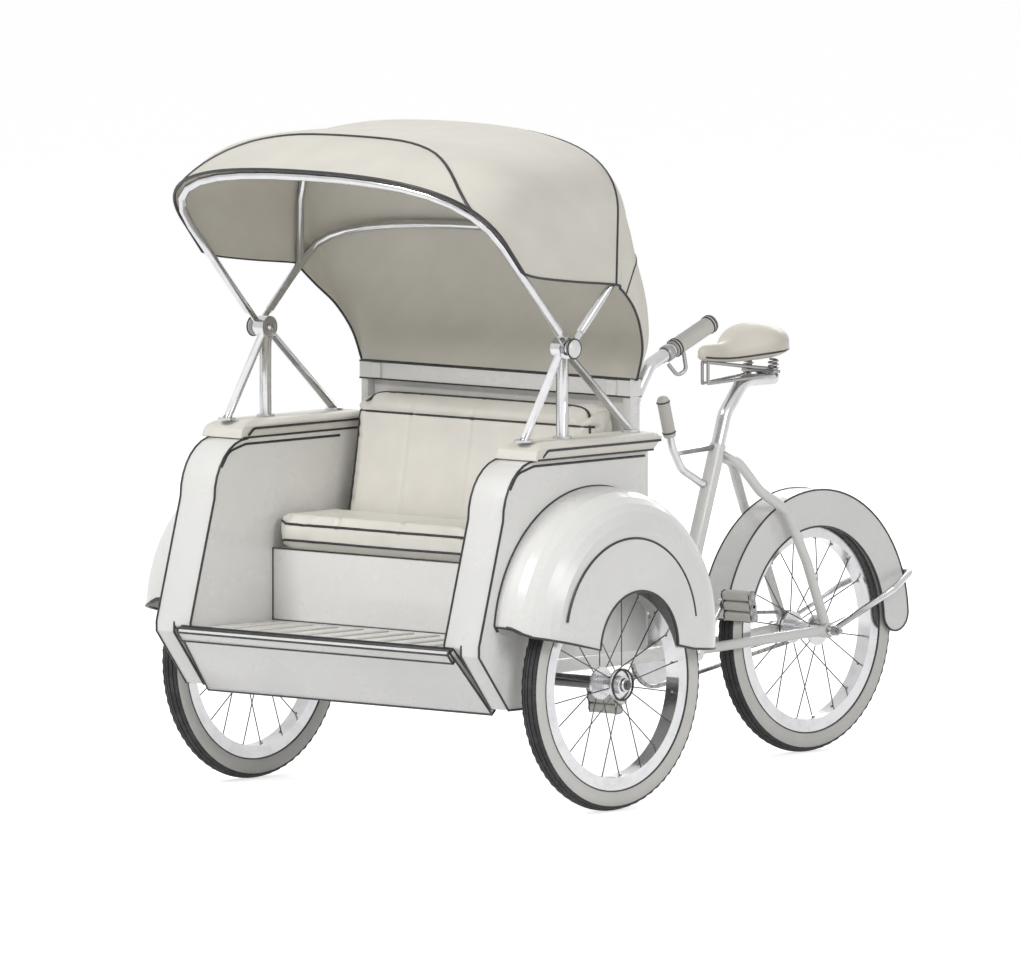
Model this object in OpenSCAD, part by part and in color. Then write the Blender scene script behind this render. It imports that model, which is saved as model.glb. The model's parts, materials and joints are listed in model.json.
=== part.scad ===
// Cycle rickshaw: a hooded two-seat cabin on two steered front wheels, pushed
// by a pedalled rear half. Front is -Y, the passengers' left is +X, up is +Z.
// Inside the modules Y is measured back from the front wheels' axis and Z up
// from the floor; placed() moves that frame to the middle of the length.

/* [Wheels] */
// Outer diameter of a tyre
wheel_d = 660; // [620:5:800]
// Width of a tyre
tyre_w = 56; // [40:1:66]
// Height of a tyre from its bead seat to its tread
tyre_h = 60; // [44:1:66]
// Spokes in a wheel
spoke_count = 20; // [12:4:36]
// Thickness of a spoke
spoke_d = 3.2; // [2.4:0.2:5]
// Diameter of a hub's flanges
flange_d = 84; // [60:2:110]
// Diameter of the axle inside a hub
axle_d = 14; // [10:1:18]

/* [Layout] */
// Distance from the front axle back to the rear axle
wheelbase = 1490; // [1400:10:1800]
// Distance between the middles of the two front tyres
track = 1260; // [1250:5:1512]
// Distance of the steering pin behind the front axle
kingpin_y = 120; // [80:5:160]

/* [Cabin] */
// Width over the two side walls
cabin_w = 1130; // [940:10:1130]
// Thickness of a side wall
wall_t = 120; // [80:5:144]
// Height of the floor's top above the wheels' axis
floor_rise = 108; // [96:2:150]
// Thickness of the floor
floor_t = 18; // [12:1:24]
// Height of the armrests' top above the floor
arm_height = 527; // [440:5:640]
// Distance of the walls' foot in front of the front axle
foot_reach = 438; // [400:2:520]
// Distance of the cabin's back behind the front axle
back_y = 290; // [270:5:330]
// Thickness of the back panel
panel_t = 15; // [10:1:25]
// Thickness of the apron under the floor's front edge
apron_t = 16; // [10:1:22]

/* [Seat] */
// Height of the cushion's top above the floor
seat_height = 281; // [234:1:340]
// Thickness of the seat cushion
cushion_t = 92; // [76:2:112]
// Distance of the cushion's front edge in front of the axle
seat_front = 150; // [100:5:190]
// Height of the backrest's top above the floor
back_height = 612; // [540:2:640]
// Thickness of the backrest at its top
backrest_t = 98; // [80:2:110]
// Thickness of the backrest at its foot
backrest_foot = 168; // [130:2:190]

/* [Hood] */
// Height of the hood's pivot above the armrests
stand_height = 235; // [195:5:285]
// Distance of the hood's pivot in front of the front axle
pivot_reach = 65; // [40:5:90]
// Diameter of the hood's bows
bow_d = 22; // [16:1:26]
// Diameter of the upright under a hood pivot
post_d = 32; // [22:1:32]
// Thickness of the hood's cloth
cloth_t = 3; // [2:0.5:4]

/* [Fenders] */
// Outer radius of a front fender's arch
arch_r = 382; // [370:2:430]
// Width of a front fender beyond the middle of its tyre
arch_w = 100; // [90:2:130]
// Radius of the opening in a front fender's skirt
arch_opening = 152; // [120:2:180]
// Thickness of the fenders' sheet
sheet_t = 3; // [2:0.5:4]
// Gap between the rear tyre and its fender
rear_fender_gap = 42; // [30:1:60]
// Diameter of the rod that stays the rear fender
fender_rod_d = 18; // [10:1:20]

/* [Rear frame] */
// Diameter of the main beam
beam_d = 40; // [32:1:46]
// Diameter of the seat tube
seat_tube_d = 44; // [28:1:46]
// Diameter of the rear stays
stay_d = 27; // [18:1:28]
// Distance of the crank's axis behind the front axle
crank_y = 955; // [920:5:1000]
// Drop of the crank's axis below the wheels' axis
crank_drop = 25; // [0:1:40]
// Height of the saddle's top above the wheels' axis
saddle_rise = 825; // [790:5:900]
// Angle at which the pedals stand
pedal_tilt = 80; // [0:5:180]
// Length of a crank arm
crank_arm = 157; // [140:1:175]
// Outer radius of the chainring
chainring_r = 90; // [75:1:96]
// Radius of the rear sprocket
sprocket_r = 40; // [34:1:48]

/* [Handles] */
// Distance of each handle inside the side wall's inner face
handle_x = 45; // [35:5:115]
// Diameter of the handle tubes
handle_d = 36; // [25:1:38]
// Diameter of the rubber grips
grip_d = 46; // [40:1:48]

/* [Hidden] */
$fn = 48;
gap = 0.3;
run = 0.05;
sides = [["left", 1], ["right", -1]];

hub_z = wheel_d / 2;
bead_r = hub_z - tyre_h;
rim_r = bead_r - 27;
rim_w = tyre_w * 0.78;
front_hub = 48;
rear_hub = 66;
floor_z = hub_z + floor_rise;
arm_z = floor_z + arm_height;
outer_x = cabin_w / 2;
inner_x = outer_x - wall_t;
panel_y = back_y - panel_t;
grip_x = inner_x - handle_x;
arm_back = back_y - 40;
wall_step = 78;
seat_z = floor_z + seat_height;
back_z = floor_z + back_height;
apron_foot = 168;
apron_back = 138;
lip_y = -foot_reach - 12;
lip_depth = 32;
pivot_y = -pivot_reach;
pivot_z = arm_z + stand_height;
pivot_x = outer_x - 45;
bow_x = outer_x - 20;
cover_x = bow_x + bow_d / 2 + 7;
rail_t = 45;
arch_z = hub_z + 128;
arch_x = track / 2 + arch_w;
skirt_front = 16;
skirt_rear = -56;
skirt_middle = -30;
skirt_corner = 45;
crank_z = hub_z - crank_drop;
beam_z = crank_z - 8;
head_r = 27;
kingpin_r = 15;
chain_x = 57.5;
dropout_x = rear_hub + 6;
axle_reach = dropout_x + 14;
seat_top_y = crank_y + 185;
seat_top_z = hub_z + 512;
saddle_z = hub_z + saddle_rise;
fender_r = hub_z + rear_fender_gap;
fender_x = tyre_w / 2 + 14;
fender_from = 4;
front_extent = pivot_reach + 424;
rear_extent = wheelbase + fender_r * cos(fender_from);
middle_y = (rear_extent - front_extent) / 2;

// ---- helpers

module placed() translate([0, -middle_y, 0]) children();

function unit(v) = v / norm(v);

// Direction of the path p at its point i
function heading(p, i) =
    i == 0 ? unit(p[1] - p[0]) :
    i == len(p) - 1 ? unit(p[i] - p[i - 1]) :
    unit(unit(p[i + 1] - p[i]) + unit(p[i] - p[i - 1]));

// What is left of v across the path's heading at its point i
function across(p, i, v) = unit(v - heading(p, i) * (heading(p, i) * v));

// One unit vector across the path at each of its points, carried without twist
function carried(p) =
    [for (i = 0, v = across(p, 0, [0.31, 0.17, 0.93]); i < len(p);
        i = i + 1, v = i < len(p) ? across(p, i, v) : v) v];

// The corner b of the path a, b, c, rounded with the radius bend
function corner(a, b, c, bend, steps) =
    let (d1 = unit(b - a), d2 = unit(c - b), turn = acos(d1 * d2))
    turn < 2 ? [b] :
    let (n = unit(d2 - d1 * (d1 * d2)), middle = b - d1 * bend * tan(turn / 2) + n * bend)
    [for (k = [0 : steps]) middle - n * bend * cos(turn * k / steps) + d1 * bend * sin(turn * k / steps)];

function rounded(p, bend, steps = 5) =
    [p[0], for (i = [1 : 1 : len(p) - 2]) each corner(p[i - 1], p[i], p[i + 1], bend, steps), p[len(p) - 1]];

// A round bar of the radius r along the path p
module swept(p, r, count = 12) {
    v = carried(p);
    last = (len(p) - 1) * count;
    rings = [for (i = [0 : len(p) - 1])
        let (w = cross(heading(p, i), v[i]))
        for (j = [0 : count - 1]) p[i] + r * (v[i] * cos(j * 360 / count) + w * sin(j * 360 / count))];
    walls = [for (i = [0 : len(p) - 2], j = [0 : count - 1])
        let (a = i * count + j, b = i * count + (j + 1) % count)
        [a, a + count, b + count, b]];
    caps = [[for (j = [0 : count - 1]) j], [for (j = [count - 1 : -1 : 0]) last + j]];
    polyhedron(rings, concat(walls, caps), convexity = 6);
}

// A straight round bar from a to b
module rod(a, b, r) {
    d = b - a;
    translate(a) rotate([0, acos(d.z / norm(d)), atan2(d.y, d.x)]) cylinder(h = norm(d), r = r);
}

// A cylinder along X between x0 and x1 at y and z
module barrel(x0, x1, y, z, r) {
    translate([min(x0, x1), y, z]) rotate([0, 90, 0]) cylinder(h = abs(x1 - x0), r = r);
}

// An outline in Y and Z, extruded along X between x0 and x1
module slab(x0, x1, outline) {
    translate([min(x0, x1), 0, 0]) rotate([90, 0, 90]) linear_extrude(abs(x1 - x0)) polygon(outline);
}

module block(low, high) translate(low) cube(high - low);

// A profile in radius and X, turned about the X axis at y and z from one
// angle to another; 0 points back and 90 up
module turned(y, z, from = 0, to = 360) {
    translate([0, y, z]) rotate([90, 0, 90]) rotate([0, 0, from]) rotate_extrude(angle = to - from) children();
}

// ---- wheels

module tyre(x, y) {
    color("dimgray") placed() turned(y, hub_z) {
        translate([hub_z - tyre_w / 2, x]) circle(r = tyre_w / 2);
        translate([bead_r, x - tyre_w * 0.28]) square([tyre_h - tyre_w / 2, tyre_w * 0.56]);
    }
}

module rim(x, y) {
    color("silver") placed() turned(y, hub_z) difference() {
        translate([rim_r, x - rim_w / 2]) square([bead_r + 8 - rim_r, rim_w]);
        translate([bead_r - gap, x - tyre_w * 0.32]) square([40, tyre_w * 0.64]);
        translate([rim_r + 4, x - rim_w / 2 + 4]) square([bead_r - rim_r - 9, rim_w - 8]);
    }
}

// A hub with its flanges and spokes; half is half its width
module hub(x, y, half, sprocket) {
    color("gainsboro") placed() difference() {
        union() {
            barrel(x - half, x + half, y, hub_z, 20);
            for (s = [-1, 1]) barrel(x + s * half * 0.62, x + s * half * 0.74, y, hub_z, flange_d / 2);
            for (i = [0 : spoke_count - 1]) {
                turn = (i + 0.5) * 360 / spoke_count;
                flange_x = (i % 2 == 0 ? 1 : -1) * half * 0.68;
                rod([x + flange_x, y, hub_z] + (flange_d / 2 - 4) * [0, cos(turn), sin(turn)],
                    [x + flange_x * 0.12, y, hub_z] + (rim_r - gap) * [0, cos(turn), sin(turn)], spoke_d / 2);
            }
            if (sprocket) barrel(-chain_x - 2, -chain_x + 2, y, hub_z, sprocket_r);
        }
        barrel(x - half - 1, x + half + 1, y, hub_z, axle_d / 2 + run);
    }
}

// ---- rear half

// From the crank's shell forward to the head round the steering pin
module main_beam() {
    color("white") placed() difference() {
        union() {
            rod([0, kingpin_y + head_r - 8, beam_z], [0, crank_y - 27 - gap, crank_z], beam_d / 2);
            translate([0, kingpin_y, beam_z - 32]) cylinder(h = 74, r = head_r);
        }
        translate([0, kingpin_y, beam_z - 33]) cylinder(h = 76, r = kingpin_r + run);
    }
}

module seat_tube() {
    color("white") placed() difference() {
        union() {
            barrel(-36, 36, crank_y, crank_z, 27);
            rod([0, crank_y, crank_z], [0, seat_top_y, seat_top_z], seat_tube_d / 2);
        }
        barrel(-37, 37, crank_y, crank_z, 9 + run);
    }
}

// Two straight stays, each ending in a plate bored for the rear axle
module chain_stays() {
    color("white") placed() for (s = [-1, 1]) difference() {
        union() {
            rod([s * 26, crank_y + 31, crank_z], [s * (dropout_x + 7), wheelbase - 18, hub_z], stay_d / 2);
            barrel(s * (dropout_x - 4), s * (dropout_x + 14), wheelbase, hub_z, 21);
        }
        barrel(s * (dropout_x - 5), s * (dropout_x + 22), wheelbase, hub_z, axle_d / 2 + gap);
        barrel(s * (dropout_x - 40), s * (dropout_x - 4), wheelbase, hub_z, 60);
        barrel(-50, 50, crank_y, crank_z, 27 + gap);
    }
}

// A wishbone that arches from the seat tube over the fender to the axle
module seat_stays() {
    reach = wheelbase - seat_top_y;
    rise = seat_top_z - hub_z;
    side_x = dropout_x + 3;
    color("white") placed() difference() {
        for (s = [-1, 1]) swept(rounded([
            [s * 9, seat_top_y - 2, seat_top_z - 22],
            [s * 12, seat_top_y + reach * 0.2, rise * 0.9 + hub_z],
            [s * 36, seat_top_y + reach * 0.36, rise * 0.75 + hub_z],
            [s * side_x, seat_top_y + reach * 0.55, rise * 0.64 + hub_z],
            [s * side_x, seat_top_y + reach * 0.78, rise * 0.36 + hub_z],
            [s * side_x, wheelbase - 6, hub_z + 21 + gap]], 60, 3), stay_d / 2);
        rod([0, crank_y, crank_z], [0, seat_top_y + 40, seat_top_z + 116.1], seat_tube_d / 2 + gap);
    }
}

// A curved post that carries the saddle behind the seat tube's top
module seat_post() {
    top = seat_top_z;
    rail_z = saddle_z - 148;
    color("silver") placed() union() {
        swept(rounded([
            [0, seat_top_y + 0.2, top + gap],
            [0, seat_top_y + 28, top + 82],
            [0, seat_top_y + 100, rail_z],
            [0, seat_top_y + 222, rail_z]], 62, 5), seat_tube_d / 2 - 3, 16);
    }
}

// The saddle's padded top: a narrow nose that widens to the rear
module saddle() {
    nose_y = seat_top_y - 78;
    color("white") placed() hull() {
        translate([0, nose_y + 30, saddle_z - 62]) sphere(r = 28, $fn = 20);
        translate([0, nose_y + 130, saddle_z - 46]) sphere(r = 46, $fn = 20);
        for (s = [-1, 1]) translate([s * 58, nose_y + 256, saddle_z - 46]) sphere(r = 54, $fn = 20);
    }
}

// Two coil springs and the wire rails between the saddle and its post
module saddle_springs() {
    nose_y = seat_top_y - 78;
    spring_y = nose_y + 250;
    rail_z = saddle_z - 148;
    clamp_z = rail_z + seat_tube_d / 2 - 3 + gap;
    color("silver") placed() {
        block([-44, spring_y - 14, clamp_z], [44, spring_y + 14, clamp_z + 12]);
        for (s = [-1, 1]) {
            translate([s * 44, spring_y, clamp_z - 8]) cylinder(h = saddle_z - 100 - gap - clamp_z + 8, r = 16);
            rod([s * 10, nose_y + 24, saddle_z - 98], [s * 44, spring_y, clamp_z + 8], 4);
            rod([s * 10, nose_y + 24, rail_z + 2], [s * 44, spring_y, clamp_z - 2], 4);
            block([s * 10 - 4, nose_y + 18, rail_z - 3], [s * 10 + 4, nose_y + 30, saddle_z - 90 - gap]);
        }
    }
}

// A deep fender with side flanges over the rear wheel and a rounded tail
module rear_fender() {
    inner_r = bead_r + 4;
    tip_r = (fender_r - inner_r) / 2;
    tip_y = wheelbase + (inner_r + tip_r) * cos(fender_from);
    tip_z = hub_z + (inner_r + tip_r) * sin(fender_from);
    color("white") placed() difference() {
        turned(wheelbase, hub_z, fender_from - 12, 172) {
            translate([fender_r - sheet_t, -fender_x]) square([sheet_t, fender_x * 2]);
            for (s = [-1, 1]) translate([inner_r, s * fender_x - sheet_t / 2]) square([fender_r - inner_r, sheet_t]);
        }
        difference() {
            slab(-fender_x - 5, fender_x + 5, [[wheelbase + 200, hub_z - 120], [wheelbase + 200, hub_z + 14],
                [wheelbase + 450, hub_z + 450 * tan(fender_from)], [wheelbase + 450, hub_z - 120]]);
            barrel(-fender_x - 6, fender_x + 6, tip_y, tip_z, tip_r);
        }
    }
}

// A rod that loops from the axle's ends round the back of the fender, with an
// eye on the axle at each end
module fender_stay() {
    loop_r = fender_r + fender_rod_d / 2 + gap;
    side_x = axle_reach + gap + fender_rod_d / 2;
    rise = 20;
    color("silver") placed() difference() {
        union() {
            swept(rounded([
                [side_x, wheelbase + 4, hub_z + 2],
                [side_x, wheelbase + loop_r * 0.7 * cos(rise), hub_z + loop_r * 0.7 * sin(rise)],
                [fender_x + 22, wheelbase + loop_r * cos(rise), hub_z + loop_r * sin(rise)],
                [-fender_x - 22, wheelbase + loop_r * cos(rise), hub_z + loop_r * sin(rise)],
                [-side_x, wheelbase + loop_r * 0.7 * cos(rise), hub_z + loop_r * 0.7 * sin(rise)],
                [-side_x, wheelbase + 4, hub_z + 2]], 18, 4), fender_rod_d / 2, 12);
            for (s = [-1, 1]) barrel(s * (side_x - fender_rod_d / 2), s * (side_x + fender_rod_d / 2), wheelbase, hub_z, 14);
        }
        barrel(-side_x - 20, side_x + 20, wheelbase, hub_z, axle_d / 2 + gap);
    }
}

module rear_axle() {
    nut_x = axle_reach + fender_rod_d + gap * 2;
    color("gray") placed() {
        barrel(-nut_x - 24, nut_x + 24, wheelbase, hub_z, axle_d / 2);
        for (s = [-1, 1]) barrel(s * nut_x, s * (nut_x + 12), wheelbase, hub_z, 13);
    }
}

// A hand brake lever curved up and forward from the seat tube, with its link
module brake_lever() {
    tube_y = crank_y + 185 * (412 + crank_drop) / (512 + crank_drop);
    color("silver") placed() difference() {
        union() {
            swept(rounded([
                [0, seat_top_y - 192, hub_z + 545],
                [0, seat_top_y - 184, hub_z + 515],
                [0, seat_top_y - 146, hub_z + 455],
                [0, seat_top_y - 62, hub_z + 411],
                [0, tube_y, hub_z + 413]], 45, 4), 11);
            rod([0, seat_top_y - 172, hub_z + 500], [0, seat_top_y, seat_top_z - 4], 8);
        }
        rod([0, crank_y, crank_z], [0, seat_top_y + 40, seat_top_z + 116.1], seat_tube_d / 2 + gap);
    }
}

module brake_grip() {
    color("dimgray") placed() rod([0, seat_top_y - 192.2, hub_z + 545 + gap], [0, seat_top_y - 224, hub_z + 655], 17);
}

// The chain as one closed band round the chainring and the sprocket
module chain() {
    color("gray") placed() translate([-chain_x - 4, 0, 0]) rotate([90, 0, 90]) linear_extrude(8) difference() {
        hull() {
            translate([crank_y, crank_z]) circle(r = chainring_r + gap + 9);
            translate([wheelbase, hub_z]) circle(r = sprocket_r + gap + 9);
        }
        hull() {
            translate([crank_y, crank_z]) circle(r = chainring_r + gap);
            translate([wheelbase, hub_z]) circle(r = sprocket_r + gap);
        }
    }
}

// Spindle, two arms half a turn apart and the chainring
module crankset() {
    lean = [0, 95 / 157, 125 / 157] * crank_arm;
    color("silver") placed() {
        barrel(-98, 98, crank_y, crank_z, 9);
        barrel(-chain_x - 2.5, -chain_x + 2.5, crank_y, crank_z, chainring_r);
        barrel(-chain_x - 2.5, -40, crank_y, crank_z, 20);
        for (s = [-1, 1]) {
            x0 = s * 91;
            difference() {
                union() {
                    barrel(x0 - 7, x0 + 7, crank_y, crank_z, 18);
                    barrel(x0 - 7, x0 + 7, crank_y + s * lean.y, crank_z + s * lean.z, 14);
                    rod([x0, crank_y, crank_z], [x0, crank_y, crank_z] + s * lean, 9);
                }
                barrel(x0 - 12, x0 + 12, crank_y + s * lean.y, crank_z + s * lean.z, 6 + run);
            }
        }
    }
}

// A pedal block turning on its own pin
module pedal(s) {
    py = crank_y + s * crank_arm * 95 / 157;
    pz = crank_z + s * crank_arm * 125 / 157;
    color("dimgray") placed() {
        barrel(s * 80, s * 206, py, pz, 6);
        translate([0, py, pz]) rotate([-pedal_tilt, 0, 0]) difference() {
            block([min(s * 104, s * 204), -42, -16], [max(s * 104, s * 204), 42, 16]);
            for (y = [-28, 10]) block([min(s * 112, s * 196), y, -17], [max(s * 112, s * 196), y + 18, 17]);
        }
    }
}

// ---- cabin

// A cross tube with a stub at each end for the front hubs
module front_axle() {
    stub = track / 2 - front_hub;
    color("gray") placed() {
        barrel(-stub + 6, stub - 6, 0, hub_z, 17);
        barrel(-track / 2 - front_hub - 14, track / 2 + front_hub + 14, 0, hub_z, axle_d / 2);
        for (s = [-1, 1]) barrel(s * (track / 2 + front_hub + 2), s * (track / 2 + front_hub + 12), 0, hub_z, 13);
    }
}

// Rails and cross members under the floor, with the steering pin
module chassis() {
    top = floor_z - floor_t - gap;
    low = top - 30;
    head_top = beam_z + 42;
    color("dimgray") placed() {
        difference() {
            union() {
                for (s = [-1, 1]) {
                    block([s * 300 - 20, lip_y + 70, low], [s * 300 + 20, panel_y, top]);
                    block([s * 300 - 15, -28, hub_z - 24], [s * 300 + 15, 28, top]);
                }
                for (y = [-250, kingpin_y, panel_y - 45]) block([-320, y - 20, low], [320, y + 20, top]);
                translate([0, kingpin_y, head_top + gap]) cylinder(h = top - head_top - gap, r = head_r + 6);
            }
            barrel(-400, 400, 0, hub_z, 17 + gap);
        }
        translate([0, kingpin_y, beam_z - 52]) cylinder(h = low - beam_z + 60, r = kingpin_r);
        translate([0, kingpin_y, beam_z - 50]) cylinder(h = 17, r = head_r - 4);
    }
}

module floor_pan() {
    color("white") placed()
        block([-inner_x + gap, lip_y + lip_depth + gap, floor_z - floor_t], [inner_x - gap, panel_y - gap, floor_z]);
}

// The slanted sheet under the floor's front edge, with its raised rim
module apron() {
    top_half = inner_x + 29;
    foot_half = inner_x + 55;
    back = [apron_back, -apron_foot];
    n = [apron_foot, apron_back] / norm(back);
    a = [lip_y, floor_z - 6];
    b = a + back;
    rim = 9;
    color("white") placed() union() {
        intersection() {
            slab(-foot_half, foot_half, [a, b, b + n * apron_t, a + n * apron_t]);
            translate([0, lip_y + 250, 0]) rotate([90, 0, 0]) linear_extrude(500) polygon([
                [-foot_half, b.y - 20], [foot_half, b.y - 20], [top_half, a.y + 20], [-top_half, a.y + 20]]);
        }
        slab(-top_half, top_half, [
            a - n * rim, a - n * rim + unit(back) * 30, a + unit(back) * 30,
            [-foot_reach - gap, floor_z - 14], [-foot_reach - gap, floor_z], [lip_y - 4, floor_z]]);
        slab(-inner_x + gap, inner_x - gap, [
            [lip_y + 2, floor_z - 2], a + unit(back) * 20, [lip_y + lip_depth, floor_z - 22],
            [lip_y + lip_depth, floor_z], [lip_y + 2, floor_z]]);
    }
}

// Outline of a side wall in Y and Z; it lies behind the apron's slope, and
// proud moves that slope forward; rear is its rear edge
function wall_outline(proud, rear) = let (
    bend_y = 129,
    bend_z = 150,
    shoulder = [-foot_reach + 93, arm_z - 45 - bend_z],
    foot = floor_z - 158,
    rear_foot = floor_z - 38,
    lip_z = floor_z + 4)
    [[-foot_reach, lip_z + 8],
     for (k = [0 : 8]) shoulder + [bend_y * (1 - cos(k * 11.25)), bend_z * sin(k * 11.25)],
     [rear, arm_z - 45],
     [rear, rear_foot],
     [-170, rear_foot],
     [-215, foot],
     [-foot_reach + apron_back - proud, foot],
     [-foot_reach + 1 - proud * 0.04, lip_z - proud * 0.75]];

module wall(s) {
    color("white") placed() difference() {
        union() {
            slab(s * inner_x, s * (inner_x + 58), wall_outline(0, back_y));
            slab(s * (inner_x + 58), s * outer_x, wall_outline(24, back_y - wall_step));
        }
        barrel(s * (inner_x - 1), s * (outer_x + 1), 0, hub_z, 17 + gap);
    }
}

// A padded roll along the wall's top, rounded down over its front end
module armrest(s) {
    low = inner_x;
    high = outer_x + 22;
    front = -foot_reach + 205;
    z0 = arm_z - 45 + gap;
    color("white") placed() intersection() {
        slab(s * low, s * high, [
            [front - 10, z0], [front - 2, z0 + 24], [front + 22, arm_z - 6], [front + 55, arm_z],
            [arm_back, arm_z], [arm_back + 10, arm_z - 12], [arm_back - 34, z0]]);
        translate([0, -700, 0]) rotate([-90, 0, 0]) linear_extrude(1400) polygon([
            [s * low, -z0], [s * (low + 4), -arm_z + 14], [s * (low + 24), -arm_z],
            [s * (high - 24), -arm_z], [s * (high - 4), -arm_z + 14], [s * high, -z0]]);
    }
}

module back_panel() {
    color("white") placed() block([-inner_x + gap, panel_y, floor_z - 38], [inner_x - gap, back_y, back_z - gap]);
}

module seat_base() {
    color("white") placed() block([-inner_x + gap, -seat_front + 30, floor_z + gap],
        [inner_x - gap, panel_y - gap, seat_z - cushion_t - gap]);
}

// The seat cushion with its front edge rounded
module seat_cushion() {
    front = -seat_front;
    low = seat_z - cushion_t;
    rear = panel_y - backrest_foot - gap * 2;
    half = inner_x - 8;
    color("ivory") placed() slab(-half, half, [
        [rear, low], [rear, seat_z], [front + 36, seat_z],
        for (k = [0 : 6]) [front + 36 - 36 * sin(k * 15), seat_z - 36 + 36 * cos(k * 15)],
        [front, low + 16], [front + 14, low]]);
}

// The backrest leans back from the cushion to the top rail
module backrest() {
    low = seat_z - cushion_t + 2;
    half = inner_x - 14;
    rear = panel_y - gap;
    bulge = backrest_t * 0.7;
    color("ivory") placed() slab(-half, half, [
        [rear - backrest_foot, low],
        for (k = [0 : 6]) [rear - backrest_t + bulge * (1 - cos(k * 15)), back_z - 62 + 60 * sin(k * 15)],
        [rear, back_z - 2],
        [rear, low]]);
}

// A square rail across the back panel's top, with a socket block at each end
module hood_rail() {
    half = inner_x + 29;
    y0 = panel_y - 24;
    color("white") placed() union() {
        block([-half, y0, back_z], [half, y0 + rail_t, back_z + rail_t]);
        for (s = [-1, 1]) block([s * (half - 62) - 17, y0 - 7, back_z + 3], [s * (half - 62) + 17, y0 + rail_t + 7, back_z + rail_t - 3]);
        for (s = [-1, 1]) block([s * (half - 15) - 12, y0 + 4, arm_z + gap], [s * (half - 15) + 12, y0 + rail_t - 10, back_z + 5]);
    }
}

// A post and two braces on each armrest, meeting in the hood's pivot boss
module hood_stands() {
    color("silver") placed() for (s = [-1, 1]) {
        x = s * pivot_x;
        top = [x, pivot_y, pivot_z];
        difference() {
            union() {
                barrel(x - 16, x + 16, pivot_y, pivot_z, 29);
                rod([x, pivot_y, arm_z + gap], top, post_d / 2);
                rod([x, pivot_y - 150, arm_z + 3], top, bow_d / 2);
                rod([x, pivot_y + 268, arm_z + 3], top, bow_d / 2);
                for (y = [-150, 0, 268]) translate([x, pivot_y + y, arm_z + gap]) cylinder(h = 6, r = 24);
            }
            barrel(x - 17, x + 17, pivot_y, pivot_z, 8 + run);
            block([x - 60, pivot_y - 300, arm_z - 60], [x + 60, pivot_y + 400, arm_z + gap]);
        }
        barrel(x - s * 22, x + s * 38, pivot_y, pivot_z, 8);
        barrel(x + s * 34, x + s * 42, pivot_y, pivot_z, 15);
    }
}

// A point of a front fender's rounded lower corner: side -1 is its front
function skirt_end(side, foot, angle) =
    [side * (arch_r - skirt_corner) + skirt_corner * cos(angle), arch_z + foot + skirt_corner * (1 + sin(angle))];

// A deep bulging fender over a front wheel, open at its inner side, whose
// lower edge slopes from skirt_front over the wheel to skirt_rear behind it
module front_fender(s) {
    x0 = outer_x + gap;
    x1 = arch_x;
    curve = (arch_x - outer_x) * 0.8;
    section = [for (k = [0 : 8]) [arch_r - curve + curve * cos(k * 11.25), x1 - curve + curve * sin(k * 11.25)]];
    inside = [for (k = [8 : -1 : 0])
        [arch_r - curve + (curve - sheet_t) * cos(k * 11.25), x1 - curve + (curve - sheet_t) * sin(k * 11.25)]];
    outline = concat([[arch_r, x0]], section, [[arch_opening - 62, x1], [arch_opening - 62, x1 - sheet_t]],
        inside, [[arch_r - sheet_t, x0 + sheet_t], [arch_r - 50, x0 + sheet_t], [arch_r - 50, x0]]);
    color("white") placed() mirror([s < 0 ? 1 : 0, 0, 0]) difference() {
        turned(0, arch_z, -12, 192) polygon(outline);
        barrel(x1 - curve * 0.5, x1 + 1, 0, hub_z + 95, arch_opening);
        slab(x0 - 1, x1 + 1, concat(
            [[-arch_r - 90, arch_z - 300], [-arch_r - 90, arch_z + skirt_front + skirt_corner]],
            [for (k = [0 : 4]) skirt_end(-1, skirt_front, 180 + k * 22.5)],
            [[-120, arch_z + skirt_middle], [120, arch_z + skirt_middle - 8]],
            [for (k = [0 : 4]) skirt_end(1, skirt_rear, 270 + k * 22.5)],
            [[arch_r + 90, arch_z + skirt_rear + skirt_corner], [arch_r + 90, arch_z - 300]]));
    }
}

// Curved steering handles on plates at the back panel's upper corners
module handles() {
    color("silver") placed() for (s = [-1, 1]) difference() {
        union() {
            swept(rounded([
                [s * grip_x, back_y - 5, floor_z + 440],
                [s * grip_x, back_y + 56, floor_z + 482],
                [s * grip_x, back_y + 58, floor_z + 590],
                [s * grip_x, back_y + 122, floor_z + 682],
                [s * grip_x, back_y + 214, floor_z + 718]], 48, 5), handle_d / 2, 16);
            block([s * grip_x - 30, back_y + gap, floor_z + 400], [s * grip_x + 30, back_y + 8, floor_z + 490]);
        }
        block([s * grip_x - 60, back_y - 100, floor_z + 300], [s * grip_x + 60, back_y + gap, floor_z + 600]);
    }
}

module grips() {
    color("dimgray") placed() for (s = [-1, 1]) {
        start = [s * grip_x, back_y + 214, floor_z + 718];
        along = unit([0, 92, 36]);
        rod(start + along * gap, start + along * 165, grip_d / 2);
    }
}

// ---- hood

// Half an arch from its springing up to the middle, as a curve with four
// control points; spring and crown are Y and Z measured from the pivot
function arch_point(half, spring, crown, t) = let (
    shoulder = spring + (crown - spring) * 0.8,
    yz = pow(1 - t, 3) * spring + 3 * t * pow(1 - t, 2) * shoulder + (3 * t * t * (1 - t) + pow(t, 3)) * crown,
    x = half * (pow(1 - t, 3) + 3 * t * pow(1 - t, 2) + 3 * t * t * (1 - t) * 0.62))
    [x, pivot_y + yz.x, pivot_z + yz.y];

// The whole arch from the left foot over the crown to the right foot
function arch(half, foot, spring, crown, steps = 8) = let (
    left = concat([[half, pivot_y + foot.x, pivot_z + foot.y]],
        [for (k = [0 : steps]) arch_point(half, spring, crown, k / steps)]),
    count = len(left))
    concat(left, [for (k = [count - 2 : -1 : 0]) [-left[k].x, left[k].y, left[k].z]]);

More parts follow.
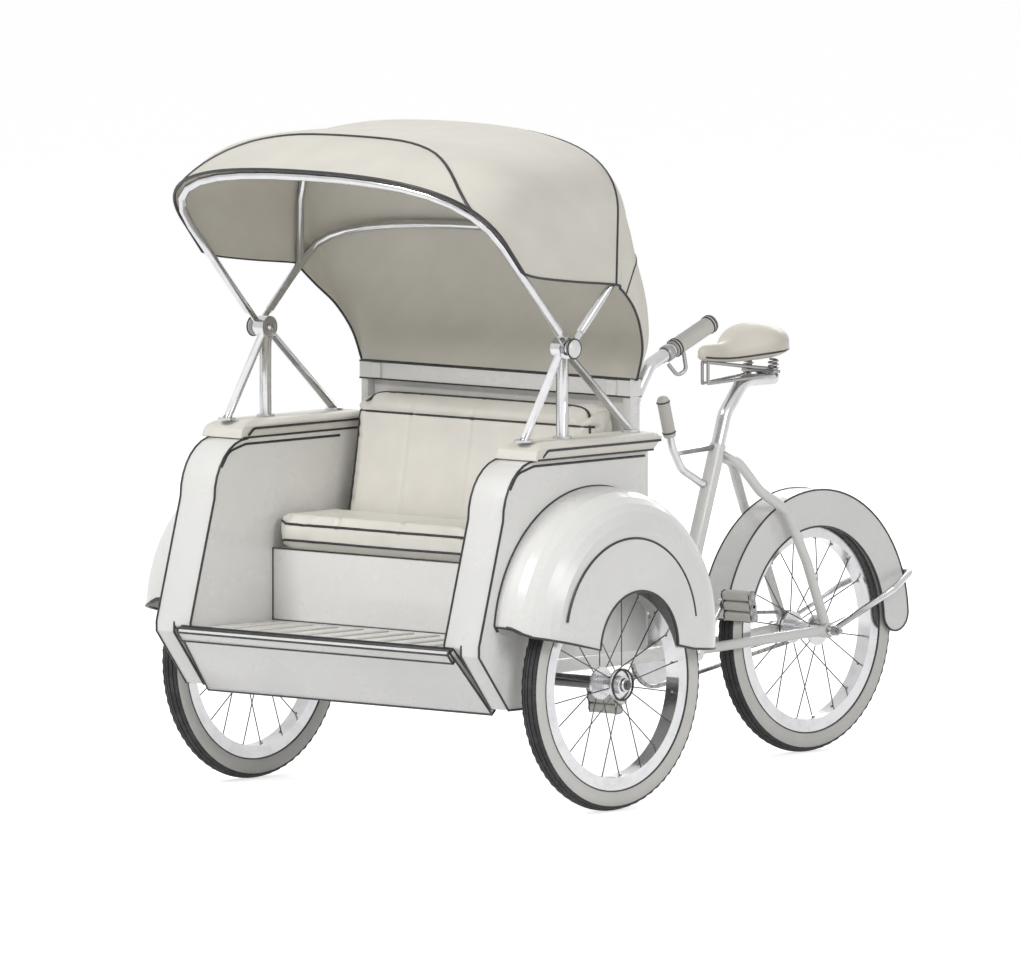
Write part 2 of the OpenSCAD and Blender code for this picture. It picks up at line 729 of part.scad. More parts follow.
front_dir = [-0.682, 0.731];
rear_dir = [0.723, 0.691];
middle_foot = rear_dir * 222;

// Flat lug that joins a bow's leg to the pivot pin
module lug(s, dir, x0) {
    turn = atan2(dir.y, dir.x);
    translate([min(s * x0, s * (x0 + 5)), pivot_y, pivot_z]) rotate([90, 0, 90]) rotate([0, 0, turn])
        linear_extrude(5) difference() {
            union() {
                circle(r = 19);
                translate([0, -8]) square([80, 16]);
            }
            circle(r = 8 + run);
        }
}

module front_bow() {
    color("silver") placed() union() {
        swept(arch(bow_x, front_dir * 58, front_dir * 380, front_dir * 604), bow_d / 2);
        for (s = [-1, 1]) lug(s, front_dir, bow_x - 8.5);
    }
}

// The rear bow and the middle bow that stands on its legs
module rear_bow() {
    color("silver") placed() union() {
        swept(arch(bow_x, rear_dir * 58, rear_dir * 262, rear_dir * 395), bow_d / 2);
        swept(arch(bow_x, middle_foot, [163, 325], [177, 530]), bow_d / 2 - 1);
        for (s = [-1, 1]) lug(s, rear_dir, bow_x - 0.5);
    }
}

// Rings of the cloth from its front edge over the roof and down the back:
// half width, then foot, springing and crown in Y and Z from the pivot
cloth_foot = [panel_y - 24 + rail_t * 0.5 - pivot_y, back_z + rail_t + gap - pivot_z];
cloth_rings = [
    [0, [-196, 206], [-268, 288], [-424, 456]],
    [0, [-140, 192], [-190, 350], [-240, 545]],
    [0, [0, 174], [-5, 350], [0, 554]],
    [0, [162, 157], [168, 335], [182, 549]],
    [0, [178, 146], [206, 275], [256, 410]],
    [0, [200, 128], [232, 196], [301, 290]],
    [-8, [240, 92], [266, 124], [354, 190]],
    [-30, [288, 42], [308, 54], [394, 98]],
    [-54, [326, -28], [338, -22], [408, 0]],
    [-80, cloth_foot + [-4, 0.2], cloth_foot + [-2, 0.1], cloth_foot]];

module hood_cover() {
    outer = [for (c = cloth_rings) arch(cover_x + c[0], c[1], c[2], c[3])];
    rows = len(outer);
    count = len(outer[0]);
    points = concat([for (row = outer) each row],
        [for (row = outer) for (p = row)
            p + cloth_t * unit([p.x * 0.35, pivot_y, pivot_z + 100] - p)]);
    half = rows * count;
    skin = [for (i = [0 : rows - 2], j = [0 : count - 2])
        let (a = i * count + j, b = a + 1, c = a + count + 1, d = a + count)
        each [[a, b, c], [a, c, d], [half + a, half + c, half + b], [half + a, half + d, half + c]]];
    ends = [for (j = [0 : count - 2])
        let (a = j, b = j + 1, c = (rows - 1) * count + j, d = c + 1)
        each [[a, half + b, b], [a, half + a, half + b], [c, d, half + d], [c, half + d, half + c]]];
    edges = [for (i = [0 : rows - 2])
        let (a = i * count, b = a + count, c = a + count - 1, d = c + count)
        each [[a, b, half + b], [a, half + b, half + a], [c, half + d, d], [c, half + c, half + d]]];
    color("ivory") placed() polyhedron(points, concat(skin, ends, edges), convexity = 8);
}

main_beam();
seat_tube();
chain_stays();
seat_stays();
seat_post();
saddle();
saddle_springs();
rear_fender();
fender_stay();
rear_axle();
brake_lever();
brake_grip();
chain();
crankset();
front_axle();
chassis();
floor_pan();
apron();
back_panel();
seat_base();
seat_cushion();
backrest();
hood_rail();
hood_stands();
handles();
grips();
hood_cover();
rear_bow();
front_bow();
tyre(0, wheelbase);  // tyre_rear
rim(0, wheelbase);  // rim_rear
hub(0, wheelbase, rear_hub, true);  // hub_rear
for (side = sides) {
    wall(side[1]);
    armrest(side[1]);
    front_fender(side[1]);
    tyre(side[1] * track / 2, 0);
    rim(side[1] * track / 2, 0);
    hub(side[1] * track / 2, 0, front_hub, false);
    pedal(side[1]);
}
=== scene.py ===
"""Looks of a cycle rickshaw: a hooded cabin on two front wheels, pushed by a pedalled rear half."""

import json
from math import acos, atan2, cos, degrees, pi, radians, sin, sqrt, tan

import bmesh
import bpy
from bpy.props import FloatProperty, FloatVectorProperty, PointerProperty
from mathutils import Matrix, Vector, noise
from mathutils.bvhtree import BVHTree


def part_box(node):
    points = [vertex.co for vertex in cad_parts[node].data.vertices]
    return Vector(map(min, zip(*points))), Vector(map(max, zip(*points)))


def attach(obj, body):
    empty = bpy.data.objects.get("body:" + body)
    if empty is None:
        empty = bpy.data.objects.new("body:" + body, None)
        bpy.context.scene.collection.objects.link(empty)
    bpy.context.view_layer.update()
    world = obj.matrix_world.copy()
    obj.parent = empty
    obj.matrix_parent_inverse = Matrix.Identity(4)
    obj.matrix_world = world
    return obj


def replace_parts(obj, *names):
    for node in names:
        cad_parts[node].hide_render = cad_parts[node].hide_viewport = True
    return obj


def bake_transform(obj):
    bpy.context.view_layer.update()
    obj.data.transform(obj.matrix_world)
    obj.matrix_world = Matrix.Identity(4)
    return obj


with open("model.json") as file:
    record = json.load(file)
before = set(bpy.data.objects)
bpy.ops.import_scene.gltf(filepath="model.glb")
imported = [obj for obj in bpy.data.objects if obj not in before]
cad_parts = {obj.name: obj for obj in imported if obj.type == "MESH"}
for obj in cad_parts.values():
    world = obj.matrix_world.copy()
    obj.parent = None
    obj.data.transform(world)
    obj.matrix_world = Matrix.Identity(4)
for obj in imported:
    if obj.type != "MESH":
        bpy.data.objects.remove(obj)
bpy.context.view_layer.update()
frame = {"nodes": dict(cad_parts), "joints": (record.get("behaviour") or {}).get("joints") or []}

bl_info = {
    "name": "Cycle rickshaw looks",
    "version": (1, 0, 0),
    "blender": (4, 5, 0),
    "location": "View3D > Sidebar > Rickshaw",
    "description": "Finishes, upholstery, hood and trim of a cycle rickshaw",
    "category": "Object",
}

JOINTS = {j["name"]: j for j in frame["joints"]}
PIVOT = Vector(JOINTS["hood_fold"]["pos_m"])
REAR_HUB = Vector(JOINTS["rear_spin"]["pos_m"])
FRONT_HUBS = {"left": Vector(JOINTS["front_left_spin"]["pos_m"]), "right": Vector(JOINTS["front_right_spin"]["pos_m"])}
CRANK = Vector(JOINTS["crank_spin"]["pos_m"])
SIDES = (("left", 1), ("right", -1))


def colour_prop(name, what, value):
    return FloatVectorProperty(name=name, description=what, default=value, subtype="COLOR", min=0.0, max=1.0)


class RickshawColours(bpy.types.PropertyGroup):
    """Colours that a user would change."""
    enamel: colour_prop("Enamel", "Body and frame enamel", (0.79, 0.785, 0.765))
    trim: colour_prop("Trim", "Dark beading, piping and bindings", (0.018, 0.018, 0.02))
    canvas: colour_prop("Canvas", "Hood cloth", (0.74, 0.715, 0.645))
    hide: colour_prop("Seat hide", "Leathercloth of seat, backrest and armrests", (0.76, 0.735, 0.675))
    saddle: colour_prop("Saddle hide", "Leather of the saddle", (0.70, 0.66, 0.58))
    side_wall: colour_prop("Tyre side wall", "Pale side wall of the tyres", (0.66, 0.65, 0.62))


class RickshawSizes(bpy.types.PropertyGroup):
    """Sizes that a user would change."""
    bead: FloatProperty(name="Beading radius", description="Radius of the dark edge beading",
                        default=0.0032, min=0.001, max=0.008, unit="LENGTH")
    piping: FloatProperty(name="Piping radius", description="Radius of the upholstery piping",
                          default=0.0034, min=0.001, max=0.008, unit="LENGTH")
    puff: FloatProperty(name="Cushion swell", description="Most that a cushion's surface may swell",
                        default=0.016, min=0.0, max=0.03, unit="LENGTH")
    sag: FloatProperty(name="Cloth sag", description="Sag of the hood's cloth between its bows",
                       default=0.009, min=0.0, max=0.03, unit="LENGTH")


def colours():
    return bpy.context.scene.rickshaw_colours


def sizes():
    return bpy.context.scene.rickshaw_sizes


# ---- shader groups and materials

def shader_group(name, inputs, outputs):
    """An empty node group with float or vector inputs; returns it with its two end nodes."""
    group = bpy.data.node_groups.new(name, "ShaderNodeTree")
    for label, kind, value in inputs:
        socket = group.interface.new_socket(label, in_out="INPUT", socket_type=kind)
        if value is not None:
            socket.default_value = value
    for label in outputs:
        group.interface.new_socket(label, in_out="OUTPUT", socket_type="NodeSocketFloat")
    return group, group.nodes.new("NodeGroupInput"), group.nodes.new("NodeGroupOutput")


def add(tree, kind, links=(), **settings):
    """A node of that kind with its settings; links are (input, output socket or value)."""
    node = tree.nodes.new(kind)
    for key, value in settings.items():
        setattr(node, key, value)
    for label, source in links:
        socket = node.inputs[label]
        if isinstance(source, bpy.types.NodeSocket):
            tree.links.new(source, socket)
        else:
            socket.default_value = source
    return node


def patina_group():
    """Cloudy dirt that gathers low down, and a fine speckle."""
    group, start, end = shader_group(
        "patina", [("Vector", "NodeSocketVector", None), ("Scale", "NodeSocketFloat", 4.0),
                   ("Low", "NodeSocketFloat", 0.5)], ["Dirt", "Fine"])
    cloud = add(group, "ShaderNodeTexNoise", [("Vector", start.outputs["Vector"]), ("Scale", start.outputs["Scale"]),
                                              ("Detail", 6.0), ("Roughness", 0.62)])
    fine = add(group, "ShaderNodeTexNoise", [("Vector", start.outputs["Vector"]), ("Scale", 160.0), ("Detail", 3.0)])
    parts = add(group, "ShaderNodeSeparateXYZ", [("Vector", start.outputs["Vector"])])
    low = add(group, "ShaderNodeMapRange", [("Value", parts.outputs["Z"]), ("From Min", 0.1), ("From Max", 0.75),
                                            ("To Min", 1.0), ("To Max", 0.0)])
    lifted = add(group, "ShaderNodeMath", [(0, low.outputs[0]), (1, start.outputs["Low"])], operation="MULTIPLY")
    mask = add(group, "ShaderNodeMapRange", [("Value", cloud.outputs["Fac"]), ("From Min", 0.45), ("From Max", 0.78)])
    both = add(group, "ShaderNodeMath", [(0, mask.outputs[0]), (1, lifted.outputs[0])], operation="MULTIPLY_ADD")
    group.links.new(mask.outputs[0], both.inputs[2])
    clear = add(group, "ShaderNodeMath", [(0, both.outputs[0]), (1, 0.5)], operation="MULTIPLY", use_clamp=True)
    group.links.new(clear.outputs[0], end.inputs["Dirt"])
    group.links.new(fine.outputs["Fac"], end.inputs["Fine"])
    return group


def weave_group():
    """Warp and weft threads over a flat cloth's UV map, in metres."""
    group, start, end = shader_group(
        "weave", [("Vector", "NodeSocketVector", None), ("Threads", "NodeSocketFloat", 900.0)], ["Height", "Slub"])
    waves = [add(group, "ShaderNodeTexWave", [("Vector", start.outputs["Vector"]), ("Scale", start.outputs["Threads"]),
                                              ("Distortion", 0.6)], bands_direction=axis) for axis in "XY"]
    top = add(group, "ShaderNodeMath", [(0, waves[0].outputs["Fac"]), (1, waves[1].outputs["Fac"])], operation="MAXIMUM")
    slub = add(group, "ShaderNodeTexNoise", [("Vector", start.outputs["Vector"]), ("Scale", 9.0), ("Detail", 5.0)])
    group.links.new(top.outputs[0], end.inputs["Height"])
    group.links.new(slub.outputs["Fac"], end.inputs["Slub"])
    return group


def grain_group():
    """Pebbled grain of hide, with soft creases."""
    group, start, end = shader_group(
        "hide_grain", [("Vector", "NodeSocketVector", None), ("Scale", "NodeSocketFloat", 420.0)], ["Height", "Crease"])
    cells = add(group, "ShaderNodeTexVoronoi", [("Vector", start.outputs["Vector"]), ("Scale", start.outputs["Scale"])],
                feature="DISTANCE_TO_EDGE")
    rough = add(group, "ShaderNodeTexNoise", [("Vector", start.outputs["Vector"]), ("Scale", 14.0), ("Detail", 6.0)])
    group.links.new(cells.outputs["Distance"], end.inputs["Height"])
    group.links.new(rough.outputs["Fac"], end.inputs["Crease"])
    return group


def edge_wear_shade_group():
    """Where an edge stands out or a corner turns in, found from the bevel normal: a mask for rubbed wear and for
    painted shade that outlines edges and darkens corners.
    """
    group, _, end = shader_group("edge_wear_and_shade", [("Width", "NodeSocketFloat", 0.004)], ["Edge"])
    start = group.nodes[0]
    bevel = add(group, "ShaderNodeBevel", [("Radius", start.outputs["Width"])], samples=4)
    plain = add(group, "ShaderNodeNewGeometry")
    same = add(group, "ShaderNodeVectorMath", [(0, bevel.outputs[0]), (1, plain.outputs["Normal"])],
               operation="DOT_PRODUCT")
    edge = add(group, "ShaderNodeMapRange", [("Value", same.outputs["Value"]), ("From Min", 0.99), ("From Max", 0.8)])
    group.links.new(edge.outputs[0], end.inputs["Edge"])
    return group


GROUPS = {}


def effect(tree, name, links):
    makers = {"patina": patina_group, "weave": weave_group, "hide_grain": grain_group, "edge_wear_and_shade": edge_wear_shade_group}
    if name not in GROUPS:
        GROUPS[name] = makers[name]()
    node = tree.nodes.new("ShaderNodeGroup")
    node.node_tree = GROUPS[name]
    for label, source in links:
        if isinstance(source, bpy.types.NodeSocket):
            tree.links.new(source, node.inputs[label])
        else:
            node.inputs[label].default_value = source
    return node


def start_material(name, **plain):
    """A material with its shader's plain sockets set; returns it, its tree, shader and object coordinates."""
    material = bpy.data.materials.new(name)
    material.use_nodes = True
    tree = material.node_tree
    shader = tree.nodes["Principled BSDF"]
    for label, value in plain.items():
        shader.inputs[label.replace("_", " ")].default_value = value
    place = add(tree, "ShaderNodeTexCoord")
    return material, tree, shader, place


def blend_colours(tree, mask, low, high):
    mix = add(tree, "ShaderNodeMix", [(0, mask)], data_type="RGBA")
    mix.inputs[6].default_value = (*low, 1.0)
    mix.inputs[7].default_value = (*high, 1.0)
    return mix.outputs[2]


def shade(colour, factor):
    return tuple(min(1.0, c * factor) for c in colour)


def vary(tree, source, low, high, from_min=0.3, from_max=0.7):
    return add(tree, "ShaderNodeMapRange", [("Value", source), ("From Min", from_min), ("From Max", from_max),
                                            ("To Min", low), ("To Max", high)]).outputs[0]


def bump(tree, shader, height, strength, distance):
    node = add(tree, "ShaderNodeBump", [("Height", height), ("Strength", strength), ("Distance", distance)])
    tree.links.new(node.outputs[0], shader.inputs["Normal"])


def enamel_material(name, colour, dirt_amount=0.5, edge_wear_shade_factor=0.62):
    """Gloss paint with faint dirt low down. Its edges and inside corners take the edge colour, which is rubbed wear and
    also painted shade outlining them.
    """
    material, tree, shader, place = start_material(name, Coat_Weight=0.35, Coat_Roughness=0.12)
    patina = effect(tree, "patina", [("Vector", place.outputs["Object"]), ("Scale", 5.0), ("Low", dirt_amount)])
    edge_wear_shade = effect(tree, "edge_wear_and_shade", [("Width", 0.004)])
    dirty = blend_colours(tree, patina.outputs["Dirt"], colour, shade(colour, 0.90))
    # Painted shade: edges and inside corners shift to the edge colour, darker than the paint here. This gives outlines
    # as well as rubbed wear.
    worn_and_shaded = add(tree, "ShaderNodeMix", [(0, edge_wear_shade.outputs["Edge"]), (6, dirty)], data_type="RGBA")
    worn_and_shaded.inputs[7].default_value = (*shade(colour, edge_wear_shade_factor), 1.0)
    tree.links.new(worn_and_shaded.outputs[2], shader.inputs["Base Color"])
    tree.links.new(vary(tree, patina.outputs["Dirt"], 0.26, 0.5, 0.0, 0.6), shader.inputs["Roughness"])
    bump(tree, shader, patina.outputs["Fine"], 0.05, 0.0004)
    return material


def metal_material(name, colour, rough, streak=(3.0, 3.0, 60.0)):
    """Bright or brushed metal with faint streaks and haze."""
    material, tree, shader, place = start_material(name, Metallic=1.0)
    stretch = add(tree, "ShaderNodeMapping", [("Vector", place.outputs["Object"]), ("Scale", streak)])
    patina = effect(tree, "patina", [("Vector", place.outputs["Object"]), ("Scale", 18.0), ("Low", 0.4)])
    fine = add(tree, "ShaderNodeTexNoise", [("Vector", stretch.outputs[0]), ("Scale", 12.0), ("Detail", 4.0)])
    tree.links.new(blend_colours(tree, patina.outputs["Dirt"], colour, shade(colour, 0.72)), shader.inputs["Base Color"])
    tree.links.new(vary(tree, fine.outputs["Fac"], rough * 0.8, rough * 1.5), shader.inputs["Roughness"])
    bump(tree, shader, fine.outputs["Fac"], 0.03, 0.0003)
    return material


def spoke_material(name, hub):
    """Bright metal near the hub's axis and dark steel further out, on the spokes."""
    material, tree, shader, place = start_material(name, Metallic=1.0)
    centred = add(tree, "ShaderNodeMapping", [("Vector", place.outputs["Object"]), ("Location", (0.0, -hub.y, -hub.z)),
                                              ("Scale", (0.0, 1.0, 1.0))])
    away = add(tree, "ShaderNodeVectorMath", [(0, centred.outputs[0])], operation="LENGTH")
    out = add(tree, "ShaderNodeMapRange", [("Value", away.outputs["Value"]), ("From Min", 0.043), ("From Max", 0.047)])
    tree.links.new(blend_colours(tree, out.outputs[0], (0.60, 0.60, 0.61), (0.10, 0.10, 0.105)),
                   shader.inputs["Base Color"])
    patina = effect(tree, "patina", [("Vector", place.outputs["Object"]), ("Scale", 30.0), ("Low", 0.4)])
    tree.links.new(vary(tree, patina.outputs["Fine"], 0.16, 0.34), shader.inputs["Roughness"])
    return material


def hide_material(name, colour, grain=420.0):
    """Leathercloth with a pebbled grain, darker in its creases."""
    material, tree, shader, place = start_material(name, Coat_Weight=0.06, Sheen_Weight=0.05)
    hide = effect(tree, "hide_grain", [("Vector", place.outputs["Object"]), ("Scale", grain)])
    tree.links.new(blend_colours(tree, vary(tree, hide.outputs["Crease"], 0.0, 1.0), shade(colour, 0.93), colour),
                   shader.inputs["Base Color"])
    tree.links.new(vary(tree, hide.outputs["Crease"], 0.42, 0.58), shader.inputs["Roughness"])
    bump(tree, shader, hide.outputs["Height"], 0.35, 0.0006)
    return material


def canvas_material(name, colour):
    """Waxed canvas: threads, slubs and faint water marks."""
    material, tree, shader, place = start_material(name, Sheen_Weight=0.12, Sheen_Roughness=0.5)
    weave = effect(tree, "weave", [("Vector", place.outputs["UV"]), ("Threads", 420.0)])
    patina = effect(tree, "patina", [("Vector", place.outputs["Object"]), ("Scale", 3.0), ("Low", 0.0)])
    cloth = blend_colours(tree, vary(tree, weave.outputs["Slub"], 0.0, 1.0), shade(colour, 0.94), shade(colour, 1.02))
    marked = add(tree, "ShaderNodeMix", [(0, patina.outputs["Dirt"]), (6, cloth)], data_type="RGBA")
    marked.inputs[7].default_value = (*shade(colour, 0.84), 1.0)
    tree.links.new(marked.outputs[2], shader.inputs["Base Color"])
    tree.links.new(vary(tree, weave.outputs["Slub"], 0.72, 0.86), shader.inputs["Roughness"])
    bump(tree, shader, weave.outputs["Height"], 0.25, 0.0005)
    return material


def rubber_material(name, colour, rough=0.6):
    """Rubber or matt paint with a fine tooth."""
    material, tree, shader, place = start_material(name)
    patina = effect(tree, "patina", [("Vector", place.outputs["Object"]), ("Scale", 22.0), ("Low", 0.8)])
    dusty = tuple(c + 0.05 for c in colour)
    tree.links.new(blend_colours(tree, patina.outputs["Dirt"], colour, dusty), shader.inputs["Base Color"])
    tree.links.new(vary(tree, patina.outputs["Fine"], rough * 0.85, rough * 1.2), shader.inputs["Roughness"])
    bump(tree, shader, patina.outputs["Fine"], 0.2, 0.0004)
    return material


MATERIALS = {}


def material_of(name):
    """The named finish, made at its first use."""
    if name not in MATERIALS:
        tint = colours()
        makers = {
            "enamel": lambda: enamel_material("enamel", tuple(tint.enamel)),
            "trim": lambda: rubber_material("trim", tuple(tint.trim), 0.34),
            "canvas": lambda: canvas_material("canvas", tuple(tint.canvas)),
            "hide": lambda: hide_material("hide", tuple(tint.hide)),
            "saddle_leather": lambda: hide_material("saddle_leather", tuple(tint.saddle), 560.0),
            "side_wall": lambda: rubber_material("side_wall", tuple(tint.side_wall), 0.7),
            "tread": lambda: rubber_material("tread", (0.028, 0.028, 0.03), 0.75),
            "grip": lambda: rubber_material("grip", (0.03, 0.03, 0.032), 0.62),
            "pale_rubber": lambda: rubber_material("pale_rubber", (0.60, 0.585, 0.54), 0.6),
            "chrome": lambda: metal_material("chrome", (0.60, 0.60, 0.61), 0.16),
            "steel": lambda: metal_material("steel", (0.36, 0.355, 0.35), 0.34),
            "alloy": lambda: metal_material("alloy", (0.56, 0.56, 0.57), 0.28),
            "spokes_front": lambda: spoke_material("spokes_front", FRONT_HUBS["left"]),
            "spokes_rear": lambda: spoke_material("spokes_rear", REAR_HUB),
            # Its edge colour is lighter than the black, so edges and inside corners carry rubbed wear and a painted
            # highlight.
            "under_black": lambda: enamel_material("under_black", (0.045, 0.045, 0.05), 1.0, 2.4),
        }
        MATERIALS[name] = makers[name]()
    return MATERIALS[name]


# ---- modelling helpers

def place_mesh(name, bm, body, finish, angle=35.0, outward=True):
    """Makes a piece from a bmesh, shades it and lets it ride on its body."""
    if outward:
        bmesh.ops.recalc_face_normals(bm, faces=bm.faces)
    mesh = bpy.data.meshes.new(name)
    bm.to_mesh(mesh)
    bm.free()
    piece = bpy.data.objects.new(name, mesh)
    bpy.context.scene.collection.objects.link(piece)
    mesh.materials.append(material_of(finish))
    mesh.shade_smooth()
    mesh.set_sharp_from_angle(angle=radians(angle))
    if body:
        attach(piece, body)
    return piece


def lines_mesh(lines, radius, sides=3, closed=False):
    """A bmesh of round bars along the lines, each a list of points."""
    data = bpy.data.curves.new("line", "CURVE")
    data.dimensions = "3D"
    data.bevel_depth = radius
    data.bevel_resolution = sides
    data.use_fill_caps = True
    for points in lines:
        spline = data.splines.new("POLY")
        spline.points.add(len(points) - 1)
        for target, point in zip(spline.points, points):
            target.co = (*point, 1.0)
        spline.use_cyclic_u = closed
    holder = bpy.data.objects.new("line", data)
    mesh = bpy.data.meshes.new_from_object(holder)
    bm = bmesh.new()
    bm.from_mesh(mesh)
    bmesh.ops.remove_doubles(bm, verts=bm.verts, dist=1e-6)
    bpy.data.objects.remove(holder)
    bpy.data.curves.remove(data)
    bpy.data.meshes.remove(mesh)
    return bm


def bars(name, lines, radius, body, finish, sides=3, closed=False):
    return place_mesh(name, lines_mesh(lines, radius, sides, closed), body, finish, 50.0)


def merged(node):
    """A CAD node's mesh as a bmesh with its loose corners joined."""
    bm = bmesh.new()
    bm.from_mesh(frame["nodes"][node].data)
    bmesh.ops.remove_doubles(bm, verts=bm.verts, dist=2e-5)
    bmesh.ops.dissolve_limit(bm, angle_limit=radians(0.6), verts=bm.verts, edges=bm.edges)
    return bm


def sharp_edges(bm, angle=28.0):
    return [e for e in bm.edges if len(e.link_faces) == 2 and e.calc_face_angle(0.0) > radians(angle)]


def softened(node, body, finish, width, segments=3, name=None):
    """A CAD node's own shape with its edges rounded."""
    bm = merged(node)
    bmesh.ops.bevel(bm, geom=sharp_edges(bm), offset=width, offset_type="OFFSET", segments=segments, profile=0.5,
                    affect="EDGES", material=-1, clamp_overlap=True)
    piece = place_mesh(name or node + "_shape", bm, body, finish)
    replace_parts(piece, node)
    return piece


def chains_of(edges):
    """Joins edges end to end into lists of points."""
    left = set(edges)
    found = []
    while left:
        edge = left.pop()
        line = [edge.verts[0], edge.verts[1]]
        for end in (1, 0):
            while True:
                tip = line[-1] if end else line[0]
                following = next((e for e in tip.link_edges if e in left), None)
                if following is None:
                    break
                left.discard(following)
                other = following.other_vert(tip)
                line = line + [other] if end else [other] + line
        found.append([v.co.copy() for v in line])
    return found


def edge_beads(name, node, test, radius, body, slot="dark_steel", angle=28.0):
    """Dark beading along those sharp edges of a CAD node whose two ends pass the test."""
    bm = merged(node)
    picked = [e for e in sharp_edges(bm, angle) if all(test(v.co) for v in e.verts)]
    if not picked:
        raise RuntimeError(f"no edge of {node} passes the test for {name}")
    lines = chains_of(picked)
    bm.free()
    return bars(name, lines, radius, body, "trim")


def turned_ring(centre, profile, steps, arc=2 * pi, start=0.0):
    """A bmesh spun round the X axis through centre; profile holds (radius, x) pairs."""
    bm = bmesh.new()
    ring = [bm.verts.new(centre + Vector((x, r * cos(start), r * sin(start)))) for r, x in profile]
    edges = [bm.edges.new((a, b)) for a, b in zip(ring, ring[1:])]
    bmesh.ops.spin(bm, geom=ring + edges, cent=centre, axis=(1, 0, 0), angle=arc, steps=steps,
                   use_merge=arc > 6.28, use_duplicate=False)
    bmesh.ops.remove_doubles(bm, verts=bm.verts, dist=1e-6)
    return bm


def box_mesh(low, high, bevel=0.0, segments=3):
    bm = bmesh.new()
    bmesh.ops.create_cube(bm, size=1.0)
    low, high = Vector(low), Vector(high)
    bmesh.ops.scale(bm, vec=high - low, verts=bm.verts)
    bmesh.ops.translate(bm, vec=(low + high) / 2, verts=bm.verts)
    if bevel:
        bmesh.ops.bevel(bm, geom=bm.edges[:], offset=bevel, offset_type="OFFSET", segments=segments, profile=0.5,
                        affect="EDGES", material=-1)
    return bm


def disc_mesh(centre, axis, radius, depth, bevel=0.0, sides=24):
    """A round plate or boss whose middle is at centre."""
    bm = bmesh.new()
    bmesh.ops.create_cone(bm, cap_ends=True, segments=sides, radius1=radius, radius2=radius, depth=depth)
    if bevel:
        rims = [e for e in bm.edges if e.calc_face_angle(0.0) > radians(60)]
        bmesh.ops.bevel(bm, geom=rims, offset=bevel, offset_type="OFFSET", segments=2, profile=0.5, affect="EDGES",
                        material=-1)
    turn = Vector(axis).to_track_quat("Z", "Y").to_matrix().to_4x4()
    bmesh.ops.transform(bm, matrix=Matrix.Translation(centre) @ turn, verts=bm.verts)
    return bm


def joined(meshes):
    """One bmesh that holds them all."""
    whole = bmesh.new()
    for bm in meshes:
        part = bpy.data.meshes.new("part")
        bm.to_mesh(part)
        bm.free()
        whole.from_mesh(part)
        bpy.data.meshes.remove(part)
    return whole


def rounded_path(points, bend, steps=8):
    """The polyline with its corners rounded."""
    points = [Vector(p) for p in points]
    path = [points[0]]
    for a, b, c in zip(points, points[1:], points[2:]):
        into, out = (b - a).normalized(), (c - b).normalized()
        turn = into.angle(out, 0.0)
        if turn < 0.03:
            path.append(b)
            continue
        back = bend * tan(turn / 2)
        side = (out - into * into.dot(out)).normalized()
        middle = b - into * back + side * bend
        path += [middle - side * bend * cos(turn * k / steps) + into * bend * sin(turn * k / steps)
                 for k in range(steps + 1)]
    return path + [points[-1]]


def puffed(bm, cap, voxel=0.006, pressure=4.0):
    """Stuffs a closed shape: remeshes it, lets air pressure swell it as cloth, and caps how far a point moves."""
    mesh = bpy.data.meshes.new("pad")
    bm.to_mesh(mesh)
    bm.free()
    pad = bpy.data.objects.new("pad", mesh)
    scene = bpy.context.scene
    scene.collection.objects.link(pad)
    remesh = pad.modifiers.new("voxels", "REMESH")
    remesh.mode = "VOXEL"
    remesh.voxel_size = voxel
    graph = bpy.context.evaluated_depsgraph_get()
    dense = bpy.data.meshes.new_from_object(pad.evaluated_get(graph))
    pad.modifiers.clear()
    pad.data = dense
    before = [v.co.copy() for v in dense.vertices]
    cloth = pad.modifiers.new("stuffing", "CLOTH")
    cloth.settings.use_pressure = True
    cloth.settings.uniform_pressure_force = pressure
    cloth.settings.effector_weights.gravity = 0.0
    cloth.settings.quality = 4
    cloth.point_cache.frame_start = 1
    cloth.point_cache.frame_end = 20
    for step in range(1, 21):
        scene.frame_set(step)
    graph = bpy.context.evaluated_depsgraph_get()
    swollen = bpy.data.meshes.new_from_object(pad.evaluated_get(graph))
    after = [v.co.copy() for v in swollen.vertices]
    bpy.data.meshes.remove(swollen)
    scene.frame_set(1)
    result = bmesh.new()
    result.from_mesh(dense)
    for vert, old, new in zip(result.verts, before, after):
        step = new - old
        vert.co = old + (step.normalized() * min(step.length, cap) if step.length > 1e-9 else step)
    bpy.data.objects.remove(pad)
    bpy.data.meshes.remove(mesh)
    bpy.data.meshes.remove(dense)
    for _ in range(2):
        bmesh.ops.smooth_vert(result, verts=result.verts, factor=0.5, use_axis_x=True, use_axis_y=True, use_axis_z=True)
    return result


def rounded_corner(bm, axes, corner, signs, radius):
    """Turns a pad's square corner, seen along the third axis, into a round one."""
    for vert in bm.verts:
        u, v = ((vert.co[axis] - place) * sign + radius for axis, place, sign in zip(axes, corner, signs))
        if u > 0 and v > 0:
            pull = max(u, v) / sqrt(u * u + v * v)
            for axis, place, sign, old in zip(axes, corner, signs, (u, v)):
                vert.co[axis] = place + (old * pull - radius) * sign


def kept_inside(bm, low, high):
    """Presses a swollen pad back where it would pass its own space."""
    for vert in bm.verts:
        vert.co = Vector(max(a, min(b, c)) for a, b, c in zip(low, high, vert.co))


def grooved(bm, axis, place, depth, width, facing):
    """Presses a sewn groove into the faces that look along facing."""
    bm.normal_update()
    for vert in bm.verts:
        near = abs(vert.co[axis] - place) / width
        if near < 3 and vert.normal.dot(facing) > 0.2:
            vert.co -= Vector(facing) * depth * pow(2.718, -near * near)


